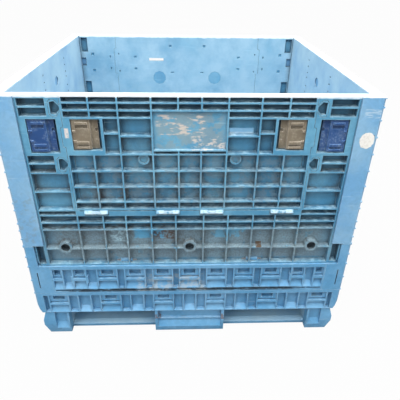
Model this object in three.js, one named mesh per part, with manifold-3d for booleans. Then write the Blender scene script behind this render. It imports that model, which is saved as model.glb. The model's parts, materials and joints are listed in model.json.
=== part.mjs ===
import * as THREE from 'three';
import { mergeVertices } from 'three/addons/utils/BufferGeometryUtils.js';
import Module from 'manifold-3d';

// Folding bulk pallet box, millimetres, +Z up. The origin is on the ground under
// the middle of the footprint and the front, with its drop door, faces -Y.

// Footprint and height
const LENGTH = 1219;
const WIDTH = 1143;
const HEIGHT = 1003;

// Levels above the ground
const FORK_CLEARANCE = 117;
const FLOOR_LEVEL = 162;
const BASE_HEIGHT = 219;
const FRONT_FOLD_LEVEL = 351;
const FOLD_PITCH = 46.5;
const DOOR_SILL_LEVEL = 591.5;

// Wall sections
const SHELL = 38;
const FLANGE_THICKNESS = 8;
const FLANGE_WIDTH = 75;
const CORNER_CHAMFER = 9;
const WALL_POCKET_DEPTH = 22;
const SIDE_POCKET_DEPTH = 28;
const RIB = 5;
const DRAFT = 1.6;
const RIM_BAND = 5.5;
const TAB_RADIUS = 22;
const FLOOR_SKIN = 6;

// Clearances
const SEAT_GAP = 0.3;
const SEAM_GAP = 1.2;
const END_GAP = 1.5;
const OVERCUT = 1;

// Drop door
const JAMB_WIDTH = 172;
const DOOR_SILL_GAP = 3;
const DOOR_LAYER = 20;
const DOOR_REBATE = 17;
const DOOR_CORNER = 12;
const DOOR_RIBS_FROM_CENTRE = [37, 121];
const DOOR_RIBS_FROM_EDGE = [173, 85];
const DOOR_RIBS_FROM_TOP = [24, 48, 72];
const DOOR_RIBS_FROM_BOTTOM = [32.5, 91.5, 151.5, 212.5];
const TONGUE_REACH = 36;
const TONGUE_HEAD = 54;
const TONGUE_NECK = 20;
const TONGUES_FROM_TOP = [231, 40];
const TAB_REACH = 8;
const TAB_FROM_TOP = [170, 103];
const BACK_TAB_REACH = 11;
const BACK_TAB_FROM_TOP = [193, 65];
const PANEL_DEPTH = 9;
const PANEL_LEDGE = 13;
const BOSS_OFFSET = 153;
const BOSS_FROM_TOP = 217;
const BOSS_RADIUS = 20;
const WINDOW_MARGINS = [8, 18];
const WINDOW_HEIGHT = 16;
const DISC_RADIUS = 36;
const DISC_DEPTH = 1.5;

// Folding front and back walls
const JAMB_RIBS_FROM_TOP = [37, 69, 197, 229, 263];
const JAMB_RIBS_FROM_SILL = [2.5, 76.5];
const SILL_RIBS = [18, 49, 80];
const TALL_RIB = 76;
const BOTTOM_RIB = 6;
const SILL_COLUMNS = [50, 138, 228, 308];
const PORT_FROM_END = 112;
const PORT_LEVEL = 83;
const PORT_RADIUS = 26;
const PORT_BORE = 17;
const LADDER_WIDTH = 34;
const LADDER_PITCH = 76;
const LADDER_DEPTH = 14;
const HOLE_DEPTH = 4;
const DOOR_HOLES = [
  { x: 91, fromTop: 49.5, width: 15, height: 13 },
  { x: 281, fromTop: 107, width: 15, height: 12 },
  { x: 281, fromTop: 168.5, width: 15, height: 12 },
  { x: 369, fromTop: 91, width: 7, height: 9 },
  { x: 369, fromTop: 182, width: 7, height: 9 },
  { x: 81, fromTop: 188, width: 19, height: 8 },
];
const JAMB_HOLES = [
  { x: 415, fromTop: 106, width: 8, height: 13 },
  { x: 415, fromTop: 167.5, width: 8, height: 13 },
  { x: 507.5, fromTop: 93.5, width: 16, height: 15 },
  { x: 507.5, fromTop: 180, width: 16, height: 15 },
];

// Latches
const LATCH_POCKET_WIDTH = 93;
const LATCH_POCKET_TOP = 75.5;
const WALL_LATCH_POCKET_HEIGHT = 115;
const DOOR_LATCH_POCKET_HEIGHT = 106;
const WALL_LATCH_EDGE = 59;
const DOOR_LATCH_EDGE = 23;
const LATCH_MARGIN = 3;
const LATCH_PAD_WIDTH = 58;
const LATCH_TRAVEL = 10;
const LATCH_STOP_GAP = 0.5;
const BOLT_HEIGHT = 26;
const BOLT_FROM_TOP = 133;
const BOLT_DEPTH = [5, 12];
const KEEPER_REACH = 22;
const KEEPER_ENGAGEMENT = 9;
const DOOR_BOLT_ENGAGEMENT = 8;
const KEEPER_THICKNESS = 10;
const KEEPER_HEIGHT = 36;

// Hinges
const KNUCKLE_RADIUS = 7.5;
const PIN_RADIUS = 3.2;
const DOOR_AXIS_DROP = 9.5;
const DOOR_AXIS_PROUD = 0.8;
const DOOR_HINGE_FROM_CENTRE = 77.5;
const DOOR_HINGE_FROM_EDGE = 69.5;
const DOOR_HINGE_WIDTH = 82;
const WALL_AXIS_INSET = 8;
const WALL_HINGE_WIDTH = 44;
const PIN_OVERLAP = 15;
const LEAF_ROOT = 4;
const WALL_HINGE_OFFSETS = [240];

// Side walls
const SIDE_RIBS_FROM_TOP = [33, 76, 133, 193, 255, 313];
const SIDE_RIBS_FROM_BOTTOM = [34, 71, 101, 156, 184];
const SIDE_COLUMNS = [185];
const SIDE_END_BAND = 24;
const SIDE_HOLE_SIZE = [15, 6];
const SIDE_HOLES = [
  { y: -138, fromTop: [46, 74.5, 104.5] },
  { y: 188, fromTop: [46, 74.5, 104.5, 127, 167, 195] },
];
const GRIP_FROM_MIDDLE = 28;
const GRIP_FROM_TOP = 109;
const GRIP_RADII = [26, 19];

// Skirt of the base and the sills above it
const SKIRT_CHAMFER = [17, 38];
const CELL_DEPTH = 16;
const CELL_SLOPE = 20;
const SLOT_DEPTH = 14;
const HOLD_DEPTH = 22;
const HOLD_WIDTH = 46;
const HOLD_FROM_SLIT = 6;
const LEDGE_DEPTH = 7;
const SLIT_SHARES = [0.53, 0.61];
const LEDGE_SHARE = 0.42;
const LEDGE_SLOPE = 25;
const SILL_CAP = 15;
const SKIRT_CAP = 13;
const GROOVE_DIVIDERS = [105, 211, 317, 463];
const GROOVE_LEVELS = [9, 17];
const RAIL_FOOT = 21;
const RAIL_INSET = 6;
const DECK_RIB_PITCH = 190;

// Feet and runners
const CORNER_FOOT_LENGTH = 117;
const CORNER_FOOT_DEPTH = 172;
const MIDDLE_FOOT_WIDTH = 285;
const MIDDLE_FOOT_DEPTH = 118;
const FOOT_TOE = 30;
const FOOT_BULGE = 12;
const FOOT_WAIST = 26;
const FOOT_RECESS = 14;
const RUNNER_SETBACK = 36;
const RUNNER_WIDTH = 92;
const RUNNER_HEIGHT = 22;
const RUNNER_BEVEL = 10;

const ROUND_SEGMENTS = 8;
const BOSS_SEGMENTS = 10;
const MERGE_TOLERANCE = 1e-4;

const PALE_BLUE = { color: 0x82b6e0, roughness: 0.5, metalness: 0 };
const GREY_BLUE = { color: 0x6fa9cc, roughness: 0.55, metalness: 0 };
const SKY_BLUE = { color: 0x64a4d8, roughness: 0.5, metalness: 0 };
const NAVY = { color: 0x27539b, roughness: 0.42, metalness: 0 };
const TAUPE = { color: 0x8c7d69, roughness: 0.5, metalness: 0 };
const STEEL = { color: 0xa9adb0, roughness: 0.35, metalness: 0.9 };

const HALF_LENGTH = LENGTH / 2;
const HALF_WIDTH = WIDTH / 2;
const BACK_FOLD_LEVEL = FRONT_FOLD_LEVEL + FOLD_PITCH;
const SIDE_FOLD_LEVEL = FRONT_FOLD_LEVEL + 2 * FOLD_PITCH;
const WALL_FACE = -(HALF_WIDTH - FLANGE_THICKNESS - SEAT_GAP);
const WALL_INNER = -(HALF_WIDTH - SHELL);
const SIDE_INNER = HALF_LENGTH - SHELL;
const WALL_HALF = SIDE_INNER - END_GAP;
const FLANGE_EDGE = HALF_LENGTH - FLANGE_WIDTH;
const DOOR_HALF = WALL_HALF - JAMB_WIDTH;
const DOOR_BOTTOM = DOOR_SILL_LEVEL + DOOR_SILL_GAP;
const DOOR_AXIS_Y = WALL_FACE - DOOR_AXIS_PROUD;
const DOOR_AXIS_Z = DOOR_BOTTOM - DOOR_AXIS_DROP;
const BORE_RADIUS = PIN_RADIUS + SEAT_GAP;
const DOOR_HINGE_OFFSETS = [DOOR_HINGE_FROM_CENTRE, DOOR_HALF - DOOR_HINGE_FROM_EDGE];
const PORT_OFFSET = WALL_HALF - PORT_FROM_END;
const LATCH_WIDTH = LATCH_POCKET_WIDTH - LATCH_TRAVEL - END_GAP - LATCH_STOP_GAP;
const WALL_LATCH_OUTER = WALL_HALF - WALL_LATCH_EDGE;
const DOOR_LATCH_OUTER = DOOR_HALF - DOOR_LATCH_EDGE;
const BOLT_LEVEL = HEIGHT - BOLT_FROM_TOP;
const KEEPER_TIP = WALL_HALF - KEEPER_REACH;
const WALL_BOLT_TIP = KEEPER_TIP + KEEPER_ENGAGEMENT;
const DOOR_BOLT_TIP = DOOR_HALF + TAB_REACH + DOOR_BOLT_ENGAGEMENT;

const wasm = await Module();
wasm.setup();

/** Closed solid from a geometry whose shared corners are merged by position. */
function toSolid(geometry) {
  const bare = geometry.clone();
  bare.deleteAttribute('normal');
  bare.deleteAttribute('uv');
  const merged = mergeVertices(bare, MERGE_TOLERANCE);
  return new wasm.Manifold(new wasm.Mesh({
    numProp: 3,
    vertProperties: new Float32Array(merged.attributes.position.array),
    triVerts: new Uint32Array(merged.index.array),
  }));
}

/** Geometry of a solid, ready for a mesh. */
function toGeometry(solid) {
  const data = solid.getMesh();
  const geometry = new THREE.BufferGeometry();
  geometry.setAttribute('position', new THREE.BufferAttribute(data.vertProperties, 3));
  geometry.setIndex(new THREE.BufferAttribute(data.triVerts, 1));
  geometry.computeVertexNormals();
  return geometry;
}

/** Union of several geometries, joined in pairs. */
function joinAll(geometries) {
  let round = geometries.map(toSolid);
  while (round.length > 1) {
    const next = [];
    for (let i = 0; i < round.length; i += 2) {
      next.push(i + 1 < round.length ? round[i].add(round[i + 1]) : round[i]);
    }
    round = next;
  }
  return round[0];
}

/** A body: additions joined, cuts taken out, then late additions and their cuts. */
function makeBody(additions, cuts = [], lateAdditions = [], lateCuts = []) {
  let solid = joinAll(additions);
  if (cuts.length > 0) {
    solid = solid.subtract(joinAll(cuts));
  }
  if (lateAdditions.length > 0) {
    solid = solid.add(joinAll(lateAdditions));
  }
  if (lateCuts.length > 0) {
    solid = solid.subtract(joinAll(lateCuts));
  }
  return toGeometry(solid);
}

/** Box between two corners, given in any order. */
function block(xa, xb, ya, yb, za, zb) {
  const size = [Math.abs(xb - xa), Math.abs(yb - ya), Math.abs(zb - za)];
  return new THREE.BoxGeometry(...size)
    .translate((xa + xb) / 2, (ya + yb) / 2, (za + zb) / 2);
}

/** Extrusion of an outline of pairs, placed with its two axes and its length axis. */
function prism(points, length, first, second, offset) {
  const shape = new THREE.Shape(points.map(([a, b]) => new THREE.Vector2(a, b)));
  const geometry = new THREE.ExtrudeGeometry(shape, { depth: length, bevelEnabled: false });
  const third = new THREE.Vector3().crossVectors(first, second);
  geometry.applyMatrix4(new THREE.Matrix4().makeBasis(first, second, third));
  return geometry.translate(offset.x, offset.y, offset.z);
}

const X_AXIS = new THREE.Vector3(1, 0, 0);
const Y_AXIS = new THREE.Vector3(0, 1, 0);
const Z_AXIS = new THREE.Vector3(0, 0, 1);

/** Outline in (y, z) run along X. */
function prismAlongX(points, x0, x1) {
  return prism(points, x1 - x0, Y_AXIS, Z_AXIS, new THREE.Vector3(x0, 0, 0));
}

/** Outline in (x, z) run along Y. */
function prismAlongY(points, y0, y1) {
  return prism(points, y1 - y0, X_AXIS, Z_AXIS, new THREE.Vector3(0, y1, 0));
}

/** Outline in (x, y) run along Z. */
function prismAlongZ(points, z0, z1) {
  return prism(points, z1 - z0, X_AXIS, Y_AXIS, new THREE.Vector3(0, 0, z0));
}

/** Round bar along X about a line at (y, z). */
function barAlongX(radius, x0, x1, y, z) {
  return new THREE.CylinderGeometry(radius, radius, Math.abs(x1 - x0), ROUND_SEGMENTS)
    .rotateZ(Math.PI / 2)
    .translate((x0 + x1) / 2, y, z);
}

/** Round bar along Y about a line at (x, z). */
function barAlongY(radius, x, y0, y1, z) {
  return new THREE.CylinderGeometry(radius, radius, y1 - y0, BOSS_SEGMENTS)
    .translate(x, (y0 + y1) / 2, z);
}

/** Moulded pocket sunk from a face at y = face, narrowing with the draft. */
function pocket(face, xa, xb, z0, z1, depth, rise = DRAFT) {
  const x0 = Math.min(xa, xb);
  const x1 = Math.max(xa, xb);
  const geometry = new THREE.BoxGeometry(1, 1, 1);
  const position = geometry.attributes.position;
  for (let i = 0; i < position.count; i += 1) {
    const share = position.getY(i) > 0 ? 1 : -OVERCUT / depth;
    const x = position.getX(i) > 0 ? x1 - DRAFT * share : x0 + DRAFT * share;
    const z = position.getZ(i) > 0 ? z1 - DRAFT * share : z0 + rise * share;
    position.setXYZ(i, x, face + depth * share, z);
  }
  return geometry;
}

/** Moulded holes sunk from the inner face of a wall whose inner face is at y = inner. */
function innerHoles(inner, holes, depth = HOLE_DEPTH) {
  return holes.map(({ x, fromTop, width, height }) => {
    const level = HEIGHT - fromTop;
    return pocket(-inner, -x - width / 2, -x + width / 2, level - height / 2, level + height / 2, depth)
      .rotateZ(Math.PI);
  });
}

/** Holes on both sides of the middle. */
function mirroredHoles(holes) {
  return holes.flatMap((hole) => [hole, { ...hole, x: -hole.x }]);
}

/** Copies turned about the vertical axis. */
function turned(geometries, angle) {
  return geometries.map((geometry) => geometry.clone().rotateZ(angle));
}

/** Spans between neighbouring rib lines, each shortened by half a rib at both ends. */
function spans(lines, rib = RIB) {
  const sorted = [...lines].sort((a, b) => a - b);
  const result = [];
  for (let i = 0; i + 1 < sorted.length; i += 1) {
    result.push([sorted[i] + rib / 2, sorted[i + 1] - rib / 2]);
  }
  return result;
}

/** Lines on both sides of the middle. */
function mirrored(lines) {
  return [...lines.map((line) => -line), ...lines];
}

/** Quarter round of points from one angle to another. */
function arc(cx, cz, radius, from, to, steps = 3) {
  const points = [];
  for (let i = 0; i <= steps; i += 1) {
    const angle = from + (to - from) * i / steps;
    points.push([cx + radius * Math.cos(angle), cz + radius * Math.sin(angle)]);
  }
  return points;
}

/** Right half of one interlocking tongue, from its lower root to its upper root. */
function tonguePoints(level, grow) {
  const neck = TONGUE_NECK / 2 + grow;
  const head = TONGUE_HEAD / 2 + grow;
  const flank = DOOR_HALF + 4 - grow / 2;
  const shoulder = DOOR_HALF + 16 - grow;
  const tip = DOOR_HALF + TONGUE_REACH + grow;
  const lower = [
    [DOOR_HALF + grow, -neck],
    [flank, -neck],
    [shoulder, -head + 2],
    [tip - 9, -head],
    [tip, -head + 9],
  ];
  const upper = [...lower].reverse().map(([x, z]) => [x, -z]);
  return [...lower, ...upper].map(([x, z]) => [x, level + z]);
}

/** Outline of the door's outer layer, or of the doorway when grown by the seam. */
function doorOutline(grow, top) {
  const half = DOOR_HALF + grow;
  const bottom = DOOR_BOTTOM - grow;
  const radius = DOOR_CORNER + grow;
  const right = [
    ...arc(half - radius, bottom + radius, radius, -Math.PI / 2, 0, 3),
    ...tonguePoints(HEIGHT - TONGUES_FROM_TOP[0], grow),
    [half, HEIGHT - TAB_FROM_TOP[0] - grow],
    [half + TAB_REACH, HEIGHT - TAB_FROM_TOP[0] + 2 - grow],
    [half + TAB_REACH, HEIGHT - TAB_FROM_TOP[1] - 2 + grow],
    [half, HEIGHT - TAB_FROM_TOP[1] + grow],
    ...tonguePoints(HEIGHT - TONGUES_FROM_TOP[1], grow),
    [half, top],
  ];
  const left = [...right].reverse().map(([x, z]) => [-x, z]);
  return [...right, ...left];
}

/** Outline of the door's inner layer behind the rebate. */
function doorBackOutline(grow, top) {
  const half = DOOR_HALF - DOOR_REBATE + grow;
  const right = [
    [half, DOOR_BOTTOM - grow],
    [half, HEIGHT - BACK_TAB_FROM_TOP[0] - grow],
    [half + BACK_TAB_REACH, HEIGHT - BACK_TAB_FROM_TOP[0] - grow],
    [half + BACK_TAB_REACH, HEIGHT - BACK_TAB_FROM_TOP[1] + grow],
    [half, HEIGHT - BACK_TAB_FROM_TOP[1] + grow],
    [half, top],
  ];
  const left = [...right].reverse().map(([x, z]) => [-x, z]);
  return [...right, ...left];
}

/** The three x spans of a door hinge: door leaf, wall leaf, door leaf. */
function hingeSpans(centre) {
  const leaf = (DOOR_HINGE_WIDTH - 4 * SEAT_GAP) / 3;
  return [-1, 0, 1].map((i) => {
    const middle = centre + i * (leaf + 2 * SEAT_GAP);
    return [middle - leaf / 2, middle + leaf / 2];
  });
}

/** Window through the skin of the door, to the right of its label panel. */
function windowCutter() {
  const x0 = DOOR_RIBS_FROM_CENTRE[1] + WINDOW_MARGINS[0];
  const x1 = DOOR_HALF - DOOR_RIBS_FROM_EDGE[0] - WINDOW_MARGINS[1];
  const z0 = HEIGHT - BOLT_FROM_TOP + RIB;
  return block(x0, x1, WALL_FACE, WALL_INNER + OVERCUT, z0, z0 + WINDOW_HEIGHT);
}

/** Pockets of the door's rib grid; the plain grid has every other upright rib. */
function doorPockets(plain) {
  const cuts = [];
  const edge = DOOR_HALF - DOOR_RIBS_FROM_EDGE[1];
  const inner = DOOR_HALF - DOOR_RIBS_FROM_EDGE[0];
  const rim = DOOR_HALF - RIB / 2;
  const lines = plain
    ? [DOOR_RIBS_FROM_CENTRE[1], edge, rim]
    : [...DOOR_RIBS_FROM_CENTRE, inner, edge, rim];
  const columns = spans(mirrored(lines));
  const topLines = [RIM_BAND - RIB / 2, ...DOOR_RIBS_FROM_TOP].map((line) => HEIGHT - line);
  const panelHalf = DOOR_RIBS_FROM_CENTRE[1];
  for (const [x0, x1] of columns) {
    const underPanel = Math.abs(x0 + x1) / 2 < panelHalf;
    for (const [z0, z1] of spans(topLines)) {
      if (!underPanel || z0 > HEIGHT - DOOR_RIBS_FROM_TOP[1]) {
        cuts.push(pocket(WALL_FACE, x0, x1, z0, z1, WALL_POCKET_DEPTH));
      }
    }
  }
  const lowLines = [RIB / 2 + 2.5, ...DOOR_RIBS_FROM_BOTTOM].map((line) => DOOR_BOTTOM + line);
  for (const [x0, x1] of columns) {
    for (const [z0, z1] of spans(lowLines)) {
      cuts.push(pocket(WALL_FACE, x0, x1, z0, z1, WALL_POCKET_DEPTH));
    }
  }
  const latchBottom = DOOR_BOTTOM + DOOR_RIBS_FROM_BOTTOM[3] + RIB / 2;
  const latchTop = HEIGHT - DOOR_RIBS_FROM_TOP[2] - RIB / 2;
  const panelTop = HEIGHT - DOOR_RIBS_FROM_TOP[1] - RIB / 2;
  const half = panelHalf - RIB / 2;
  cuts.push(pocket(WALL_FACE, -half, half, latchBottom + PANEL_LEDGE, panelTop, PANEL_DEPTH));
  for (const [x0, x1] of spans(mirrored(DOOR_RIBS_FROM_CENTRE))) {
    const slotTop = latchBottom + PANEL_LEDGE - RIB + 1;
    cuts.push(pocket(WALL_FACE, x0, x1, latchBottom, slotTop, WALL_POCKET_DEPTH - 6, 0));
  }
  const middle = HEIGHT - BOLT_FROM_TOP;
  const nearLatch = DOOR_LATCH_OUTER - LATCH_POCKET_WIDTH - 8;
  for (const side of [-1, 1]) {
    for (const [a, b, level] of [[panelHalf, inner, middle], [inner, nearLatch + RIB / 2, middle + 9]]) {
      const x0 = side * (a + RIB / 2);
      const x1 = side * (b - RIB / 2);
      cuts.push(pocket(WALL_FACE, x0, x1, latchBottom, level - RIB / 2, WALL_POCKET_DEPTH));
      cuts.push(pocket(WALL_FACE, x0, x1, level + RIB / 2, latchTop, WALL_POCKET_DEPTH));
    }
  }
  return cuts;
}

/** Opening for a latch on one side, sunk into the face. */
function latchPocket(side, outer, height) {
  const top = HEIGHT - LATCH_POCKET_TOP;
  const x0 = side * outer;
  const x1 = side * (outer - LATCH_POCKET_WIDTH);
  return block(x0, x1, WALL_FACE - OVERCUT, WALL_FACE + WALL_POCKET_DEPTH, top - height, top);
}

/** Guide slot for a bolt between two distances from the middle. */
function boltSlot(side, from, to) {
  const y0 = WALL_FACE + BOLT_DEPTH[0] - SEAT_GAP;
  const y1 = WALL_FACE + BOLT_DEPTH[1] + SEAT_GAP;
  const half = BOLT_HEIGHT / 2 + SEAT_GAP;
  return block(side * from, side * to, y0, y1, BOLT_LEVEL - half, BOLT_LEVEL + half);
}

/** Drop door with its rib grid, interlocking tongues and hinge leaves. */
function makeDoor(plain) {
  const layer = WALL_FACE + DOOR_LAYER;
  const additions = [
    prismAlongY(doorOutline(0, HEIGHT), WALL_FACE, layer),
    prismAlongY(doorBackOutline(0, HEIGHT), layer - 4, WALL_INNER),
  ];
  const cuts = doorPockets(plain);
  const lateAdditions = [];
  const lateCuts = [windowCutter()];
  for (const side of [-1, 1]) {
    cuts.push(latchPocket(side, DOOR_LATCH_OUTER, DOOR_LATCH_POCKET_HEIGHT));
    cuts.push(boltSlot(side, DOOR_LATCH_OUTER - OVERCUT, DOOR_HALF + TAB_REACH + OVERCUT));
    for (const fromTop of TONGUES_FROM_TOP) {
      const level = HEIGHT - fromTop;
      const wall = 5;
      const points = [
        [DOOR_HALF + 3, -TONGUE_NECK / 2 + wall],
        [DOOR_HALF + 17, -TONGUE_HEAD / 2 + wall + 1],
        [DOOR_HALF + TONGUE_REACH - wall, -TONGUE_HEAD / 2 + wall + 3],
      ];
      const outline = [...points, ...[...points].reverse().map(([x, z]) => [x, -z])];
      const placed = outline.map(([x, z]) => [side * x, level + z]);
      cuts.push(prismAlongY(placed, WALL_FACE - OVERCUT, layer - wall));
    }
    const bossX = side * BOSS_OFFSET;
    const bossZ = HEIGHT - BOSS_FROM_TOP;
    const floor = WALL_FACE + WALL_POCKET_DEPTH;
    lateAdditions.push(barAlongY(BOSS_RADIUS, bossX, floor - 12, floor + 2, bossZ));
    lateCuts.push(barAlongY(BOSS_RADIUS - 6, bossX, WALL_FACE, floor - 8, bossZ));
    lateCuts.push(barAlongY(DISC_RADIUS, bossX, WALL_INNER - DISC_DEPTH, WALL_INNER + 1, bossZ));
    for (const centre of DOOR_HINGE_OFFSETS) {
      const leaves = hingeSpans(side * centre);
      for (const [x0, x1] of [leaves[0], leaves[2]]) {
        lateAdditions.push(prismAlongX(doorLeafProfile(), x0, x1));
        lateCuts.push(barAlongX(BORE_RADIUS, x0 - 1, x1 + 1, DOOR_AXIS_Y, DOOR_AXIS_Z));
      }
    }
  }
  lateCuts.push(...innerHoles(WALL_INNER, mirroredHoles(DOOR_HOLES)));
  return makeBody(additions, cuts, lateAdditions, lateCuts);
}

/** Level of the pivot line of a wall that folds at a given level. */
function pivotLevel(level) {
  return level + WALL_AXIS_INSET;
}

/** Round-ended leaf in (y, z) about a pivot, with a stem towards one level. */
function leafProfile(y, z, stem) {
  const up = Math.sign(stem - z);
  const round = arc(y, z, KNUCKLE_RADIUS, 0, -up * Math.PI, 4);
  return [[y + KNUCKLE_RADIUS, stem], ...round, [y - KNUCKLE_RADIUS, stem]];
}

/** Door leaf in (y, z): its front slopes from the knuckle to the door's face. */
function doorLeafProfile() {
  const stem = DOOR_BOTTOM + LEAF_ROOT;
  const round = arc(DOOR_AXIS_Y, DOOR_AXIS_Z, KNUCKLE_RADIUS, 0, -Math.PI, 4);
  return [[DOOR_AXIS_Y + KNUCKLE_RADIUS, stem], ...round, [WALL_FACE, DOOR_BOTTOM],
    [WALL_FACE, stem]];
}

/** Lug on a sill that carries the pivot pin; inner is the wall's inner plane. */
function hingeLug(x, inner, level) {
  const y = inner - WALL_AXIS_INSET;
  const z = pivotLevel(level);
  const half = WALL_HINGE_WIDTH / 2;
  return {
    addition: prismAlongX(leafProfile(y, z, level - 6), x - half, x + half),
    cut: barAlongX(BORE_RADIUS, x - half - 1, x + half + 1, y, z),
  };
}

/** Room in a wall's foot for a lug, and the bores for its pin. */
function hingeSeat(x, inner, level) {
  const y = inner - WALL_AXIS_INSET;
  const z = pivotLevel(level);
  const half = WALL_HINGE_WIDTH / 2;
  const room = KNUCKLE_RADIUS + 2;
  const reach = half + PIN_OVERLAP + 1;
  return [
    block(x - half - 1, x + half + 1, y - room, inner + 1, level - 1, z + room),
    barAlongX(BORE_RADIUS, x - reach, x + reach, y, z),
  ];
}

/** Pivot pin of one wall hinge. */
function makeWallPin(x, inner, level) {
  const reach = WALL_HINGE_WIDTH / 2 + PIN_OVERLAP;
  return barAlongX(PIN_RADIUS, x - reach, x + reach, inner - WALL_AXIS_INSET, pivotLevel(level));
}

/** Section of a wall in (y, z): its foot is rounded about the pivot line. */
function wallSection(face, inner, level) {
  const pivotY = inner - WALL_AXIS_INSET;
  const foot = arc(pivotY, pivotLevel(level), WALL_AXIS_INSET, -Math.PI / 2, 0);
  return [[face, level], ...foot, [inner, HEIGHT], [face, HEIGHT]];
}

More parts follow.
